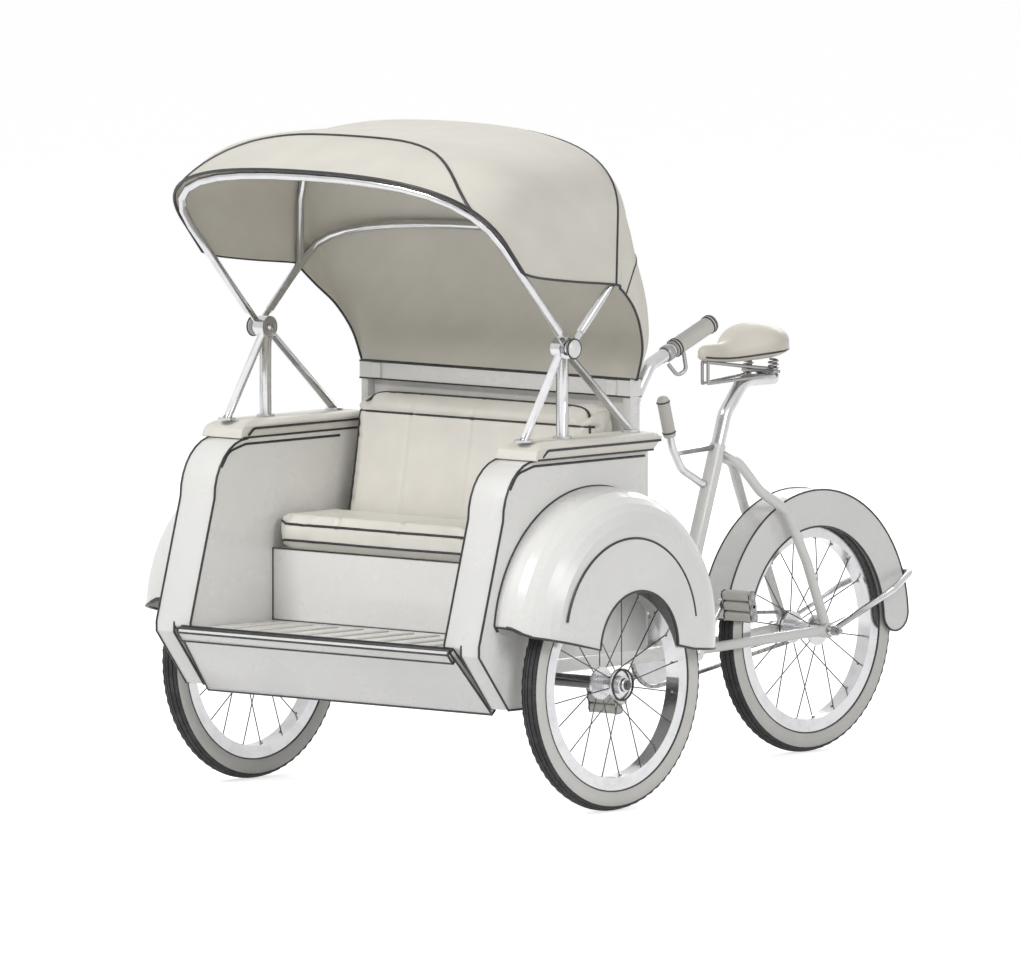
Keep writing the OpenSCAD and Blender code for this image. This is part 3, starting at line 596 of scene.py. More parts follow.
def hugging(bm, points, lift=0.0):
    """The points moved onto a pad's surface."""
    tree = BVHTree.FromBMesh(bm)
    found = []
    for point in points:
        spot, normal, _, _ = tree.find_nearest(point)
        found.append(spot + normal * lift)
    return found


def thrown(bm, points, way, lift=0.0):
    """The points moved along way until they meet the pad's surface."""
    tree = BVHTree.FromBMesh(bm)
    found = []
    for point in points:
        spot_there, normal, _, _ = tree.ray_cast(point - Vector(way) * 0.3, way)
        found.append((spot_there if spot_there is not None else tree.find_nearest(point)[0]) - Vector(way) * lift)
    return found


def rounded_loop(low, high, radius, place, steps=6):
    """A rounded rectangle in X and Y at the height place, as points close together."""
    corners = ((high[0], high[1], 0), (low[0], high[1], 90), (low[0], low[1], 180), (high[0], low[1], 270))
    loop = []
    for x, y, start in corners:
        cx = x - radius if x == high[0] else x + radius
        cy = y - radius if y == high[1] else y + radius
        loop += [Vector((cx + radius * cos(radians(start + 90 * k / steps)),
                         cy + radius * sin(radians(start + 90 * k / steps)), place)) for k in range(steps + 1)]
    return dense_line(loop + [loop[0]], 0.02)[:-1]


def dense_line(points, pitch):
    """The polyline with extra points so that none are further apart than pitch."""
    line = [points[0]]
    for a, b in zip(points, points[1:]):
        count = max(1, round((b - a).length / pitch))
        line += [a.lerp(b, k / count) for k in range(1, count + 1)]
    return line


MIDDLE = -FRONT_HUBS["left"].y


def spot(x, y, z):
    """A point from its distance behind the front wheels' axis and its height above the floor."""
    return Vector((x, y - MIDDLE, z))


def mirrored(points):
    return [Vector((-p.x, p.y, p.z)) for p in points]


def paint(node, finish):
    """Gives a CAD node that stays its finish."""
    material = material_of(finish)
    for place in frame["nodes"][node].material_slots:
        place.material = material


def all_edges(name, node, body, radius=None, angle=28.0, test=lambda a, b: True):
    """Dark beading on a node's sharp edges for whose two ends the test holds."""
    bm = merged(node)
    picked = [e for e in sharp_edges(bm, angle) if test(e.verts[0].co, e.verts[1].co)]
    if not picked:
        raise RuntimeError(f"no edge of {node} passes the test for {name}")
    lines = chains_of(picked)
    bm.free()
    return bars(name, lines, radius or sizes().bead, body, "trim")


# ---- wheels

def build_wheels():
    for name, hub, body in (("left", FRONT_HUBS["left"], "front_wheel_left"),
                            ("right", FRONT_HUBS["right"], "front_wheel_right"), ("rear", REAR_HUB, "rear_wheel")):
        low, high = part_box("tyre_" + name)
        outer = (high.z - low.z) / 2 if hasattr(high, "z") else (high[2] - low[2]) / 2
        half = (high[0] - low[0]) / 2
        seat = outer - 0.060
        wall = [(seat + 0.001, -half * 0.62), (seat + 0.008, -half * 0.80), (seat + 0.020, -half * 0.97),
                (seat + 0.030, -half), (seat + 0.042, -half * 0.93), (seat + 0.050, -half * 0.78)]
        profile = wall + [(r, -x) for r, x in reversed(wall)]
        side = place_mesh(f"tyre_{name}_walls", turned_ring(hub, profile + [profile[0]], 96), body, "side_wall")
        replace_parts(side, "tyre_" + name)
        crown = [(outer - 0.0125, 0.88), (outer - 0.0075, 0.82), (outer - 0.0045, 0.62), (outer - 0.0062, 0.60),
                 (outer - 0.0062, 0.54), (outer - 0.0030, 0.52), (outer - 0.0012, 0.22), (outer - 0.0035, 0.20),
                 (outer - 0.0035, 0.13), (outer - 0.0004, 0.11)]
        ring = [(r, -half * x) for r, x in crown] + [(r, half * x) for r, x in reversed(crown)]
        ring += [(outer - 0.016, half * 0.80), (outer - 0.016, -half * 0.80), ring[0]]
        tread = turned_ring(hub, ring, 144)
        for vert in tread.verts:
            off = vert.co - hub
            reach = sqrt(off.y ** 2 + off.z ** 2)
            turn = round(degrees(atan2(off.z, off.y)) / 2.5)
            if turn % 2 and abs(off.x) > half * 0.51 and reach > outer - 0.011:
                vert.co -= Vector((0, off.y, off.z)).normalized() * 0.0028
        place_mesh(f"tyre_{name}_tread", tread, body, "tread", 25.0)
        bead = [turned_ring(hub, [(seat + 0.008 + 0.0022 * cos(radians(a)), s * half * 0.80 + 0.0022 * sin(radians(a)))
                                  for a in range(0, 361, 60)], 96) for s in (-1, 1)]
        place_mesh(f"tyre_{name}_bead_lines", joined(bead), body, "trim")
        paint("rim_" + name, "chrome")
        paint("hub_" + name, "spokes_front" if name != "rear" else "spokes_rear")
        build_wheel_trim(name, hub, body, seat)


def build_wheel_trim(name, hub, body, seat):
    """Valve, hub cap and spoke nipples."""
    nipples = []
    for k in range(20):
        turn = 2 * pi * (k + 0.5) / 20
        out = Vector((0, cos(turn), sin(turn)))
        nipples.append(disc_mesh(hub + out * (seat - 0.022), out, 0.0034, 0.016, 0.0008, 8))
    valve = Vector((0, cos(2.2), sin(2.2)))
    nipples.append(disc_mesh(hub + valve * (seat - 0.030), valve, 0.0042, 0.034, 0.001, 12))
    place_mesh(f"nipples_{name}", joined(nipples), body, "steel")
    if name != "rear":
        side = 1 if name == "left" else -1
        low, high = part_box("hub_" + name)
        face = high[0] if side > 0 else low[0]
        cap = [(0.0, face + side * 0.011), (0.010, face + side * 0.010), (0.017, face + side * 0.006),
               (0.019, face - side * 0.001), (0.024, face - side * 0.002)]
        place_mesh(f"hub_cap_{name}", turned_ring(Vector((0, hub.y, hub.z)), cap, 32), body, "chrome")
        ring = [(0.040 + 0.003 * cos(radians(a)), face - side * 0.006 + 0.003 * sin(radians(a)))
                for a in range(0, 361, 60)]
        place_mesh(f"hub_ring_{name}", turned_ring(Vector((0, hub.y, hub.z)), ring, 32), body, "trim")


# ---- cabin

def build_cabin():
    for node in ("front_axle", "chassis"):
        paint(node, "under_black")
    for node in ("floor_pan", "apron", "back_panel", "seat_base", "hood_rail"):
        softened(node, "cabin", "enamel", 0.004)
    along = lambda a, b: abs(a.x - b.x) < 0.002
    for side, _ in SIDES:
        softened("wall_" + side, "cabin", "enamel", 0.007)
        all_edges(f"wall_{side}_beading", "wall_" + side, "cabin",
                  test=lambda a, b: along(a, b) and (a.y + b.y) / 2 + MIDDLE < -0.20)
    all_edges("apron_beading", "apron", "cabin")
    all_edges("seat_base_beading", "seat_base", "cabin", radius=0.0022,
              test=lambda a, b: (a.y + b.y) / 2 + MIDDLE < 0.0)
    all_edges("rail_lines", "hood_rail", "cabin", radius=0.0022, test=lambda a, b: abs(a.x - b.x) > 0.3)
    build_floor_strips()


def build_floor_strips():
    low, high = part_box("floor_pan")
    strips = []
    for k in range(9):
        x = low[0] + (high[0] - low[0]) * (k + 1) / 10
        strips.append(box_mesh((x - 0.012, low[1] + 0.03, high[2] - 0.001), (x + 0.012, MIDDLE * -1 - 0.17, high[2] + 0.003),
                               0.0012, 2))
    place_mesh("floor_strips", joined(strips), "cabin", "pale_rubber")


# ---- fenders

ARCH = Vector((0, FRONT_HUBS["left"].y, FRONT_HUBS["left"].z + 0.128))
ARCH_EDGE = 0.372


def build_fenders():
    for side, sign in SIDES:
        paint("fender_" + side, "enamel")
        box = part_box("fender_" + side)
        inner = min(abs(box[0][0]), abs(box[1][0]))
        shown = lambda p, inner=inner: abs(p.x) > inner + 0.005 or (p - ARCH).yz.length > ARCH_EDGE
        all_edges(f"fender_{side}_beading", "fender_" + side, "cabin", test=lambda a, b, shown=shown: shown(a) or shown(b))
        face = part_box("fender_" + side)[1 if sign > 0 else 0][0]
        arc = [spot(face - sign * 0.001, -0.030 + 0.254 * cos(radians(a)), 0.462 + 0.254 * sin(radians(a)))
               for a in range(8, 169, 4)]
        bars(f"fender_{side}_line", [arc], sizes().bead, "cabin", "trim")
    paint("rear_fender", "enamel")
    all_edges("rear_fender_beading", "rear_fender", "rear_frame", radius=0.0026)


# ---- upholstery

def pad_from(node, shrink, cap):
    """A stuffed copy of a CAD pad, kept inside the pad's own space."""
    bm = merged(node)
    low, high = (Vector(c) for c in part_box(node))
    middle = (low + high) / 2
    size = high - low
    for vert in bm.verts:
        vert.co = Vector(m + (c - m) * (1 - 2 * shrink / s) for c, m, s in zip(vert.co, middle, size))
    pad = puffed(bm, cap)
    kept_inside(pad, low + Vector((0.0005,) * 3), high - Vector((0.0005,) * 3))
    return pad, low, high


def build_seat():
    puff = sizes().puff
    pad, low, high = pad_from("seat_cushion", 0.008, puff)
    for x, sign in ((high.x, 1), (low.x, -1)):
        rounded_corner(pad, (0, 1), (x, low.y), (sign, -1), 0.065)
    for k in (1, 2, 3):
        grooved(pad, 0, low.x + (high.x - low.x) * k / 4, 0.006, 0.006, Vector((0, -0.3, 1)).normalized())
    loops = [rounded_loop((low.x + 0.012, low.y + 0.010), (high.x - 0.012, high.y - 0.010), 0.055, z)
             for z in (low.z + 0.020, high.z - 0.020)]
    lines = [hugging(pad, loop, 0.0006) for loop in loops]
    cushion = place_mesh("seat_cushion_pad", pad, "cabin", "hide", 180.0)
    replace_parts(cushion, "seat_cushion")
    bars("seat_cushion_piping", lines, sizes().piping, "cabin", "trim", closed=True)


PIPING_INSET = 0.026


def evened(line, passes):
    """The line with its small wobbles smoothed out."""
    for _ in range(passes):
        line = line[:1] + [(a + b * 2 + c) / 4 for a, b, c in zip(line, line[1:], line[2:])] + line[-1:]
    return line


def build_backrest():
    pad, low, high = pad_from("backrest", 0.008, sizes().puff)
    for x, sign in ((high.x, 1), (low.x, -1)):
        rounded_corner(pad, (0, 2), (x, high.z), (sign, 1), 0.085)
    grooved(pad, 2, high.z - 0.075, 0.006, 0.006, Vector((0, -1, 0)))
    for k in (1, 2, 3):
        grooved(pad, 0, low.x + (high.x - low.x) * k / 4, 0.005, 0.006, Vector((0, -1, 0)))
    front = dense_line([Vector((low.x + 0.02, low.y, high.z - 0.075)), Vector((high.x - 0.02, low.y, high.z - 0.075))], 0.02)
    side, top = (low.x + PIPING_INSET, high.x - PIPING_INSET), high.z - PIPING_INSET
    edge = dense_line(rounded_path([(side[0], low.y, low.z + 0.01), (side[0], low.y, top), (side[1], low.y, top),
                                    (side[1], low.y, low.z + 0.01)], 0.062), 0.012)
    ahead = Vector((0, 1, 0))
    lines = [thrown(pad, front, ahead, -0.0006), evened(thrown(pad, edge, ahead, 0.0012), 4)]
    rest = place_mesh("backrest_pad", pad, "cabin", "hide", 180.0)
    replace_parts(rest, "backrest")
    bars("backrest_piping", lines, sizes().piping, "cabin", "trim")


def build_armrests():
    for side, sign in SIDES:
        bm = merged("armrest_" + side)
        bmesh.ops.bevel(bm, geom=sharp_edges(bm), offset=0.014, offset_type="OFFSET", segments=5, profile=0.5,
                        affect="EDGES", material=-1, clamp_overlap=True)
        roll = place_mesh(f"armrest_{side}_roll", bm, "cabin", "hide", 60.0)
        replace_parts(roll, "armrest_" + side)
        low, high = (Vector(c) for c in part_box("armrest_" + side))
        inner = low.x if sign > 0 else high.x
        outer = high.x if sign > 0 else low.x
        rear = high.y - 0.012
        edges = [[(x, low.y + 0.030, 0.928), (x, low.y + 0.052, 0.945), (x, rear, 0.945)]
                 for x in (inner - sign * 0.0005, outer - sign * 0.003)]
        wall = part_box("wall_" + side)
        face = wall[1 if sign > 0 else 0][0]
        bands = [[spot(x, -0.318, 0.850), spot(x, -0.290, 0.890), spot(x, -0.225, 0.906), spot(x, end, 0.906)]
                 for x, end in ((inner, 0.14), (face, 0.205))]
        rims = [[Vector((x, low.y + 0.010, low.z + 0.002)), Vector((x, high.y - 0.044, low.z + 0.002))]
                for x in (inner - sign * 0.0005, outer)]
        bars(f"armrest_{side}_piping", [rounded_path(e, 0.02) for e in edges] + [rounded_path(b, 0.05) for b in bands],
             sizes().piping, "cabin", "trim")
        bars(f"armrest_{side}_rims", rims, sizes().piping * 0.8, "cabin", "trim")


# ---- hood

# half width beyond the bows, then foot, spring and crown from the pivot, as Y and Z
RINGS = (
    (0.000, (-0.196, 0.206), (-0.268, 0.288), (-0.424, 0.456)),
    (0.000, (-0.140, 0.192), (-0.190, 0.350), (-0.240, 0.545)),
    (0.000, (0.000, 0.174), (-0.005, 0.350), (0.000, 0.554)),
    (0.000, (0.162, 0.157), (0.168, 0.335), (0.182, 0.549)),
    (0.000, (0.178, 0.146), (0.206, 0.275), (0.256, 0.410)),
    (0.000, (0.200, 0.128), (0.232, 0.196), (0.301, 0.290)),
    (-0.008, (0.240, 0.092), (0.266, 0.124), (0.354, 0.190)),
    (-0.030, (0.288, 0.042), (0.308, 0.054), (0.394, 0.098)),
    (-0.054, (0.326, -0.028), (0.338, -0.022), (0.408, 0.000)),
    (-0.080, (0.3345, -0.1045), (0.3365, -0.1046), (0.3385, -0.1047)),
)
COVER_HALF = 0.563
SIDE_STEPS = 4
ARCH_STEPS = 22


def ring_line(ring):
    """The points of one arch of the cloth, from the left foot over the crown to the right foot."""
    offset, foot, spring, crown = ring
    half = COVER_HALF + offset
    points = [(half, foot[0] + (spring[0] - foot[0]) * k / SIDE_STEPS, foot[1] + (spring[1] - foot[1]) * k / SIDE_STEPS)
              for k in range(SIDE_STEPS)]
    shoulder = [s + (c - s) * 0.8 for s, c in zip(spring, crown)]
    for k in range(ARCH_STEPS + 1):
        t = k / ARCH_STEPS
        a, b, c, d = (1 - t) ** 3, 3 * t * (1 - t) ** 2, 3 * t * t * (1 - t), t ** 3
        y, z = (a * s + b * h + (c + d) * w for s, h, w in zip(spring, shoulder, crown))
        points.append((half * (a + b + c * 0.62), y, z))
    left = [Vector((x, PIVOT.y + y, PIVOT.z + z)) for x, y, z in points]
    return left + mirrored(left[:-1])[::-1]


def between(a, b, c, d, t):
    """A smooth curve from b to c that also heeds a and d."""
    return (b * 2 + (c - a) * t + (a * 2 - b * 5 + c * 4 - d) * t * t + (b * 3 - a - c * 3 + d) * t ** 3) / 2


def hood_rows(first, last, steps, sag):
    """Rows of cloth points from one ring to another, sunk a little between rings that have bows."""
    rings = [ring_line(r) for r in RINGS]
    rows = []
    for k in range(first, last):
        before, after = rings[max(k - 1, 0)], rings[min(k + 2, len(rings) - 1)]
        for step in range(steps + (k == last - 1)):
            t = step / steps
            row = [between(before[i], rings[k][i], rings[k + 1][i], after[i], t) for i in range(len(rings[k]))]
            whole = (k + t - first) / (last - first)
            for i, point in enumerate(row):
                over = sin(pi * i / (len(row) - 1))
                point -= Vector((0, 0, sag * over * sin(pi * whole)))
            rows.append(row)
    return rows


def cloth_from(rows, thickness):
    """A sheet over the rows, with a UV map in metres and a thickness inwards."""
    bm = bmesh.new()
    grid = [[bm.verts.new(p) for p in row] for row in rows]
    lines = [[bm.edges.new((a, b)) for a, b in zip(row, row[1:])] for row in grid]
    for low, high in zip(lines, lines[1:]):
        bmesh.ops.bridge_loops(bm, edges=low + high)
    bmesh.ops.recalc_face_normals(bm, faces=bm.faces)
    middle = sum((f.normal.dot(f.calc_center_median() - PIVOT) for f in bm.faces))
    if middle < 0:
        bmesh.ops.reverse_faces(bm, faces=bm.faces)
    across, along = {}, {}
    for j, row in enumerate(grid):
        run = 0.0
        for i, vert in enumerate(row):
            run += (vert.co - row[i - 1].co).length if i else 0.0
            across[vert] = run
            along[vert] = along[grid[j - 1][i]] + (vert.co - grid[j - 1][i].co).length if j else 0.0
    layer = bm.loops.layers.uv.new("cut")
    for face in bm.faces:
        for loop in face.loops:
            loop[layer].uv = (across[loop.vert], along[loop.vert])
    area = sum(f.calc_area() for f in bm.faces)
    width = max(across.values())
    length = max(along.values())
    bmesh.ops.solidify(bm, geom=bm.faces[:], thickness=thickness)
    return bm, width, length, area


def sheet_piece(name, rows):
    bm, width, length, area = cloth_from(rows, 0.003)
    piece = place_mesh(name, bm, None, "canvas", 60.0, outward=False)
    return piece


def over_front(piece):
    """Bakes the piece's placement into its mesh."""
    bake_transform(piece)


def over_rear(piece):
    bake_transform(piece)


def build_hood():
    sag = sizes().sag
    roof_rows = hood_rows(0, 3, 6, sag)
    curtain_rows = hood_rows(3, 9, 5, sag * 0.6)
    roof = sheet_piece("hood_roof", roof_rows)
    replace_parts(roof, "hood_cover")
    over_front(roof)
    curtain = sheet_piece("hood_curtain", curtain_rows)
    over_rear(curtain)
    build_hood_bindings(roof_rows, curtain_rows)


BROW_ROW = 6
BROW_START = 10


def brow_line(rows):
    """The fold over the front bow: it leaves the front hem at each shoulder and is a ring behind it on top."""
    last = len(rows[0]) - 1
    line = []
    for i in range(BROW_START, last - BROW_START + 1):
        near = min(i - BROW_START, last - BROW_START - i) / (last / 2 - BROW_START)
        row = BROW_ROW * min(1.0, sin(pi / 2 * min(1.0, near * 1.25)))
        low = int(row)
        high = min(low + 1, BROW_ROW)
        line.append(rows[low][i].lerp(rows[high][i], row - low))
    return line


def build_hood_bindings(roof_rows, curtain_rows):
    """Dark piping on the cloth's hems and seams."""
    thick = sizes().piping
    bars("hood_front_hem", [roof_rows[0]], thick * 1.3, "hood_front", "trim")
    over_front(bars("hood_brow_seam", [brow_line(roof_rows)], thick * 1.25, None, "trim"))
    over_front(bars("hood_side_hems", [[row[0] for row in roof_rows], [row[-1] for row in roof_rows]], thick, None,
                    "trim"))
    bars("hood_middle_seam", [roof_rows[-1]], thick, "hood_rear", "trim")
    bars("hood_rear_seam", [curtain_rows[10]], thick * 0.7, "hood_rear", "trim")
    over_rear(bars("hood_curtain_hems", [[row[0] for row in curtain_rows], [row[-1] for row in curtain_rows]], thick,
                   None, "trim"))
    bars("hood_lower_hem", [curtain_rows[-1]], thick, "cabin", "trim")


# ---- bows and stands

def tube_copy(node, body, finish, angle=50.0):
    """A CAD tube's own shape with smooth sides."""
    piece = place_mesh(node + "_tube", merged(node), body, finish, angle)
    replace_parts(piece, node)
    return piece


def build_bows():
    tube_copy("front_bow", "hood_front", "chrome")
    tube_copy("rear_bow", "hood_rear", "chrome")
    tube_copy("hood_stands", "cabin", "chrome")
    caps, rims = [], []
    for _, sign in SIDES:
        low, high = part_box("hood_stands")
        face = high[0] if sign > 0 else low[0]
        dome = [(0.0, face + sign * 0.009), (0.012, face + sign * 0.008), (0.020, face + sign * 0.005),
                (0.025, face), (0.025, face - sign * 0.004), (0.0, face - sign * 0.004)]
        caps.append(turned_ring(Vector((0, PIVOT.y, PIVOT.z)), dome, 40))
        rims.append(ring_at(Vector((face, PIVOT.y, PIVOT.z)), (1, 0, 0), 0.0255))
    place_mesh("pivot_caps", joined(caps), "cabin", "enamel")
    bars("pivot_rims", rims, 0.0022, "cabin", "trim", closed=True)


# ---- rear half

def build_rear_frame():
    for node in ("main_beam", "seat_tube", "chain_stays"):
        paint(node, "enamel")
    tube_copy("seat_stays", "rear_frame", "enamel")
    tube_copy("seat_post", "rear_frame", "chrome")
    tube_copy("fender_stay", "rear_frame", "chrome")
    tube_copy("brake_lever", "rear_frame", "chrome")
    for node, finish in (("rear_axle", "steel"), ("crankset", "alloy")):
        paint(node, finish)
    build_pedals()
    build_brake_grip()


PEDAL_TILT = radians(-80.0)


def build_pedals():
    """Three round rubber bars between two end plates on each pedal's spindle."""
    for side, sign in SIDES:
        body = side + "_pedal"
        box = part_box("pedal_" + side)
        near, far = sorted((box[0][0], box[1][0]), key=abs)
        pin = Vector(JOINTS[body + "_spin"]["pos_m"])
        turn = Matrix.Translation((0, pin.y, pin.z)) @ Matrix.Rotation(PEDAL_TILT, 4, "X")
        ends = (near + sign * 0.026, far - sign * 0.004)

        def across(x0, x1, y, half_y, half_z, bevel):
            return box_mesh((min(x0, x1), y - half_y, -half_z), (max(x0, x1), y + half_y, half_z), bevel, 4)

        places = (-0.028, 0.0, 0.028)
        rubber = joined([across(ends[0], ends[1], y, 0.0125, 0.0145, 0.009) for y in places])
        plates = [across(x - 0.0015, x + 0.0015, 0.0, 0.041, 0.0125, 0.001) for x in ends]
        bolts = [disc_mesh(Vector((far - sign * 0.002, y, 0)), (1, 0, 0), 0.0078, 0.004, 0.001, 20) for y in places]
        spindle = [disc_mesh(Vector(((near + far) / 2, 0, 0)), (1, 0, 0), 0.0059, abs(far - near), 0.001, 20)]
        cage = joined(plates + bolts + spindle)
        for mesh in (rubber, cage):
            bmesh.ops.transform(mesh, matrix=turn, verts=mesh.verts)
        place_mesh(f"pedal_{side}_rubbers", rubber, body, "pale_rubber", 50.0)
        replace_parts(place_mesh(f"pedal_{side}_cage", cage, body, "steel"), "pedal_" + side)
        rims = [[turn @ p for p in ring_at(Vector((x, y, 0)), (1, 0, 0), 0.0125)] for x in ends for y in places]
        bars(f"pedal_{side}_lines", rims, 0.0017, body, "trim", closed=True)


GRIP_LEAN = Vector((0, -0.278, 0.961))


def build_brake_grip():
    """The round-ended sleeve on the hand-brake lever."""
    low, high = (Vector(c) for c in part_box("brake_grip"))
    radius = (high.x - low.x) / 2
    foot = Vector((0, high.y - radius * GRIP_LEAN.z, low.z - radius * GRIP_LEAN.y))
    top = Vector((0, low.y + radius * GRIP_LEAN.z, high.z + radius * GRIP_LEAN.y))
    profile = [(0.0, 0.0), (0.014, 0.0), (radius, 0.004), (radius, 0.010), (radius * 0.94, 0.013), (radius, 0.016)]
    length = (top - foot).length
    profile += [(radius, length - 0.016), (radius * 0.88, length - 0.007), (radius * 0.6, length - 0.002), (0.0, length)]
    grip = turned_ring(Vector((0, 0, 0)), profile, 40)
    turn = Matrix.Translation(foot) @ GRIP_LEAN.to_track_quat("X", "Z").to_matrix().to_4x4()
    bmesh.ops.transform(grip, matrix=turn, verts=grip.verts)
    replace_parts(place_mesh("brake_sleeve", grip, "rear_frame", "pale_rubber", 50.0), "brake_grip")
    rims = [ring_at(foot + GRIP_LEAN * reach, GRIP_LEAN, radius + 0.0003) for reach in (0.013, length - 0.016)]
    bars("brake_sleeve_lines", rims, 0.002, "rear_frame", "trim", closed=True)


def ease(low, high, value):
    """0 below low, 1 above high and a smooth rise between."""
    t = min(1.0, max(0.0, (value - low) / (high - low)))
    return t * t * (3 - 2 * t)


def saddle_point(low, high, along, turn):
    """A point of the saddle's hide: along runs from nose to rear, turn goes round from the left side over the top."""
    spread = 0.25 + 0.75 * ease(0.20, 0.78, along)
    close = max(0.0, 1 - (2 * along - 1) ** 2)
    top = low.z + (high.z - low.z) * (0.60 - 0.05 * sin(pi * ease(0.0, 0.55, along)) + 0.40 * ease(0.28, 0.72, along))
    rise = sin(turn)
    rise = rise if rise > 0 else -0.9 * abs(rise) ** 0.5
    middle, half = (top + low.z) / 2, (top - low.z) / 2
    return Vector(((high.x - low.x) / 2 * spread * cos(turn) * close ** 0.38, low.y + (high.y - low.y) * along,
                   middle + half * rise * close ** 0.25))


def build_saddle():
    """A leather saddle with a narrow nose, full and high at the rear."""
    low, high = (Vector(c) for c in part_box("saddle"))
    bm = bmesh.new()
    bmesh.ops.create_uvsphere(bm, u_segments=48, v_segments=40, radius=1.0)
    for vert in bm.verts:
        x, y, z = vert.co
        vert.co = saddle_point(low, high, (1 - z) / 2, atan2(y, x) if abs(x) + abs(y) > 1e-6 else 0.0)
    bmesh.ops.smooth_vert(bm, verts=bm.verts, factor=0.5, use_axis_x=True, use_axis_y=True, use_axis_z=True)
    seam = [saddle_point(low, high, 0.04 + 0.955 * ease(0.0, 1.0, k / 40), -0.25) for k in range(41)]
    line = hugging(bm, seam, 0.0005)
    saddle = place_mesh("saddle_top", bm, "rear_frame", "saddle_leather", 80.0)
    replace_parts(saddle, "saddle")
    bars("saddle_seam", [line, mirrored(line)], 0.0026, "rear_frame", "trim")


def build_springs():
    """Coil springs, wire rails and clamp bar under the saddle."""
    low, high = (Vector(c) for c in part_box("saddle_springs"))
    rear = high.y - 0.016
    foot, top = low.z + 0.014, high.z - 0.003
    coils, rails = [], []
    for _, sign in SIDES:
        x = sign * (high.x - 0.016)
        coils.append([Vector((x + 0.012 * cos(k * pi / 8), rear + 0.012 * sin(k * pi / 8), foot + (top - foot) * k / 72))
                      for k in range(73)])
        for z_front, z_rear in ((high.z + 0.010 - 0.010, foot + 0.018), (low.z + 0.004, foot + 0.002)):
            rails.append([Vector((sign * 0.010, low.y + 0.008, z_front)), Vector((x * 0.9, rear, z_rear))])
        rails.append([Vector((sign * 0.010, low.y + 0.008, z)) for z in (low.z + 0.004, high.z)])
    whole = [lines_mesh(coils, 0.0032, 2), lines_mesh(rails, 0.0045, 3),
             box_mesh((low.x + 0.002, rear - 0.014, foot + 0.006), (high.x - 0.002, rear + 0.014, foot + 0.016), 0.003)]
    springs = place_mesh("saddle_coils", joined(whole), "rear_frame", "steel", 50.0)
    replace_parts(springs, "saddle_springs")


def build_handles():
    tube_copy("handles", "cabin", "chrome")
    paint("grips", "pale_rubber")
    low, high = (Vector(c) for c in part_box("grips"))
    along = Vector((0, 0.092, 0.036)).normalized()
    reach = (high.x - low.x) / 2
    radius = 0.0005 + (high.z - low.z - 0.165 * along.z) / 2 / along.y
    across = (high.y - low.y - 0.165 * along.y) / 2 / along.z
    radius = min(radius, across)
    lines, collars = [], []
    for _, sign in SIDES:
        middle = Vector((sign * (reach - radius), (low.y + high.y) / 2, (low.z + high.z) / 2))
        for k in (-0.078, -0.068, 0.066, 0.076):
            lines.append(ring_at(middle + along * k, along, radius + 0.0004))
        joint = middle - along * 0.106
        collars.append(disc_mesh(joint, along, radius * 0.98, 0.022, 0.003, 32))
        loop = [joint + along * 0.002 + Vector((0, 0.012, 0.020)), joint + Vector((sign * 0.016, 0.046, 0.000)),
                joint + Vector((sign * 0.020, 0.052, -0.046)), joint + Vector((sign * 0.010, 0.030, -0.062)),
                joint + Vector((0, 0.004, -0.030))]
        collars.append(lines_mesh([rounded_path(loop, 0.016)], 0.0055, 4))
    bars("grip_lines", lines, 0.0022, "cabin", "trim", closed=True)
    place_mesh("handle_collars", joined(collars), "cabin", "steel", 50.0)


def ring_at(centre, axis, radius, count=28):
    """Points of a circle square to the axis."""
    turn = Vector(axis).to_track_quat("Z", "Y")
    return [centre + turn @ Vector((radius * cos(2 * pi * k / count), radius * sin(2 * pi * k / count), 0))
            for k in range(count)]


def build_chain():
    """A roller chain round the chainring and the sprocket."""
    low, high = (Vector(c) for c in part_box("chain"))
    x = (low.x + high.x) / 2
    a, b = Vector((0, CRANK.y, CRANK.z)), Vector((0, REAR_HUB.y, REAR_HUB.z))
    big = (high.z - low.z) / 2 - 0.003 if (high.z - low.z) / 2 < 0.12 else 0.090
    small = 0.040
    span = b - a
    lean = atan2(span.z, span.y)
    tilt = acos((big - small) / span.length)
    path = []
    for k in range(25):
        turn = lean + tilt + (2 * pi - 2 * tilt) * k / 24
        path.append(a + Vector((0, cos(turn), sin(turn))) * big)
    for k in range(17):
        turn = lean - tilt + 2 * tilt * k / 16
        path.append(b + Vector((0, cos(turn), sin(turn))) * small)
    path.append(path[0])
    total = sum((q - p).length for p, q in zip(path, path[1:]))
    count = round(total / 0.0127)
    even, run, target = [], 0.0, 0.0
    for p, q in zip(path, path[1:]):
        piece = (q - p).length
        while target <= run + piece and len(even) < count:
            even.append(p.lerp(q, (target - run) / piece))
            target += total / count
        run += piece
    plates, rollers = [], []
    for k, (p, q) in enumerate(zip(even, even[1:] + even[:1])):
        off = 0.0045 if k % 2 else 0.0030
        turn = Matrix.Rotation(atan2((q - p).z, (q - p).y), 4, "X")
        for s in (-1, 1):
            plate = box_mesh((-0.0006, -0.0105, -0.0042), (0.0006, 0.0105, 0.0042), 0.0)
            bmesh.ops.transform(plate, matrix=Matrix.Translation((p + q) / 2 + Vector((x + s * off, 0, 0))) @ turn,
                                verts=plate.verts)
            plates.append(plate)
        rollers.append(disc_mesh(p + Vector((x, 0, 0)), (1, 0, 0), 0.0038, 0.0098, 0.0, 8))
    piece = place_mesh("chain_links", joined(plates + rollers), "rear_frame", "steel", 30.0)
    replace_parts(piece, "chain")


# ---- stage

CAMERA_TURN = radians(41.8)
CAMERA_RISE = radians(5.0)
CAMERA_AIM = Vector((0.0, -0.372, 0.805))
CAMERA_DISTANCE = 55.0
VIEW_WIDTH = 2.67


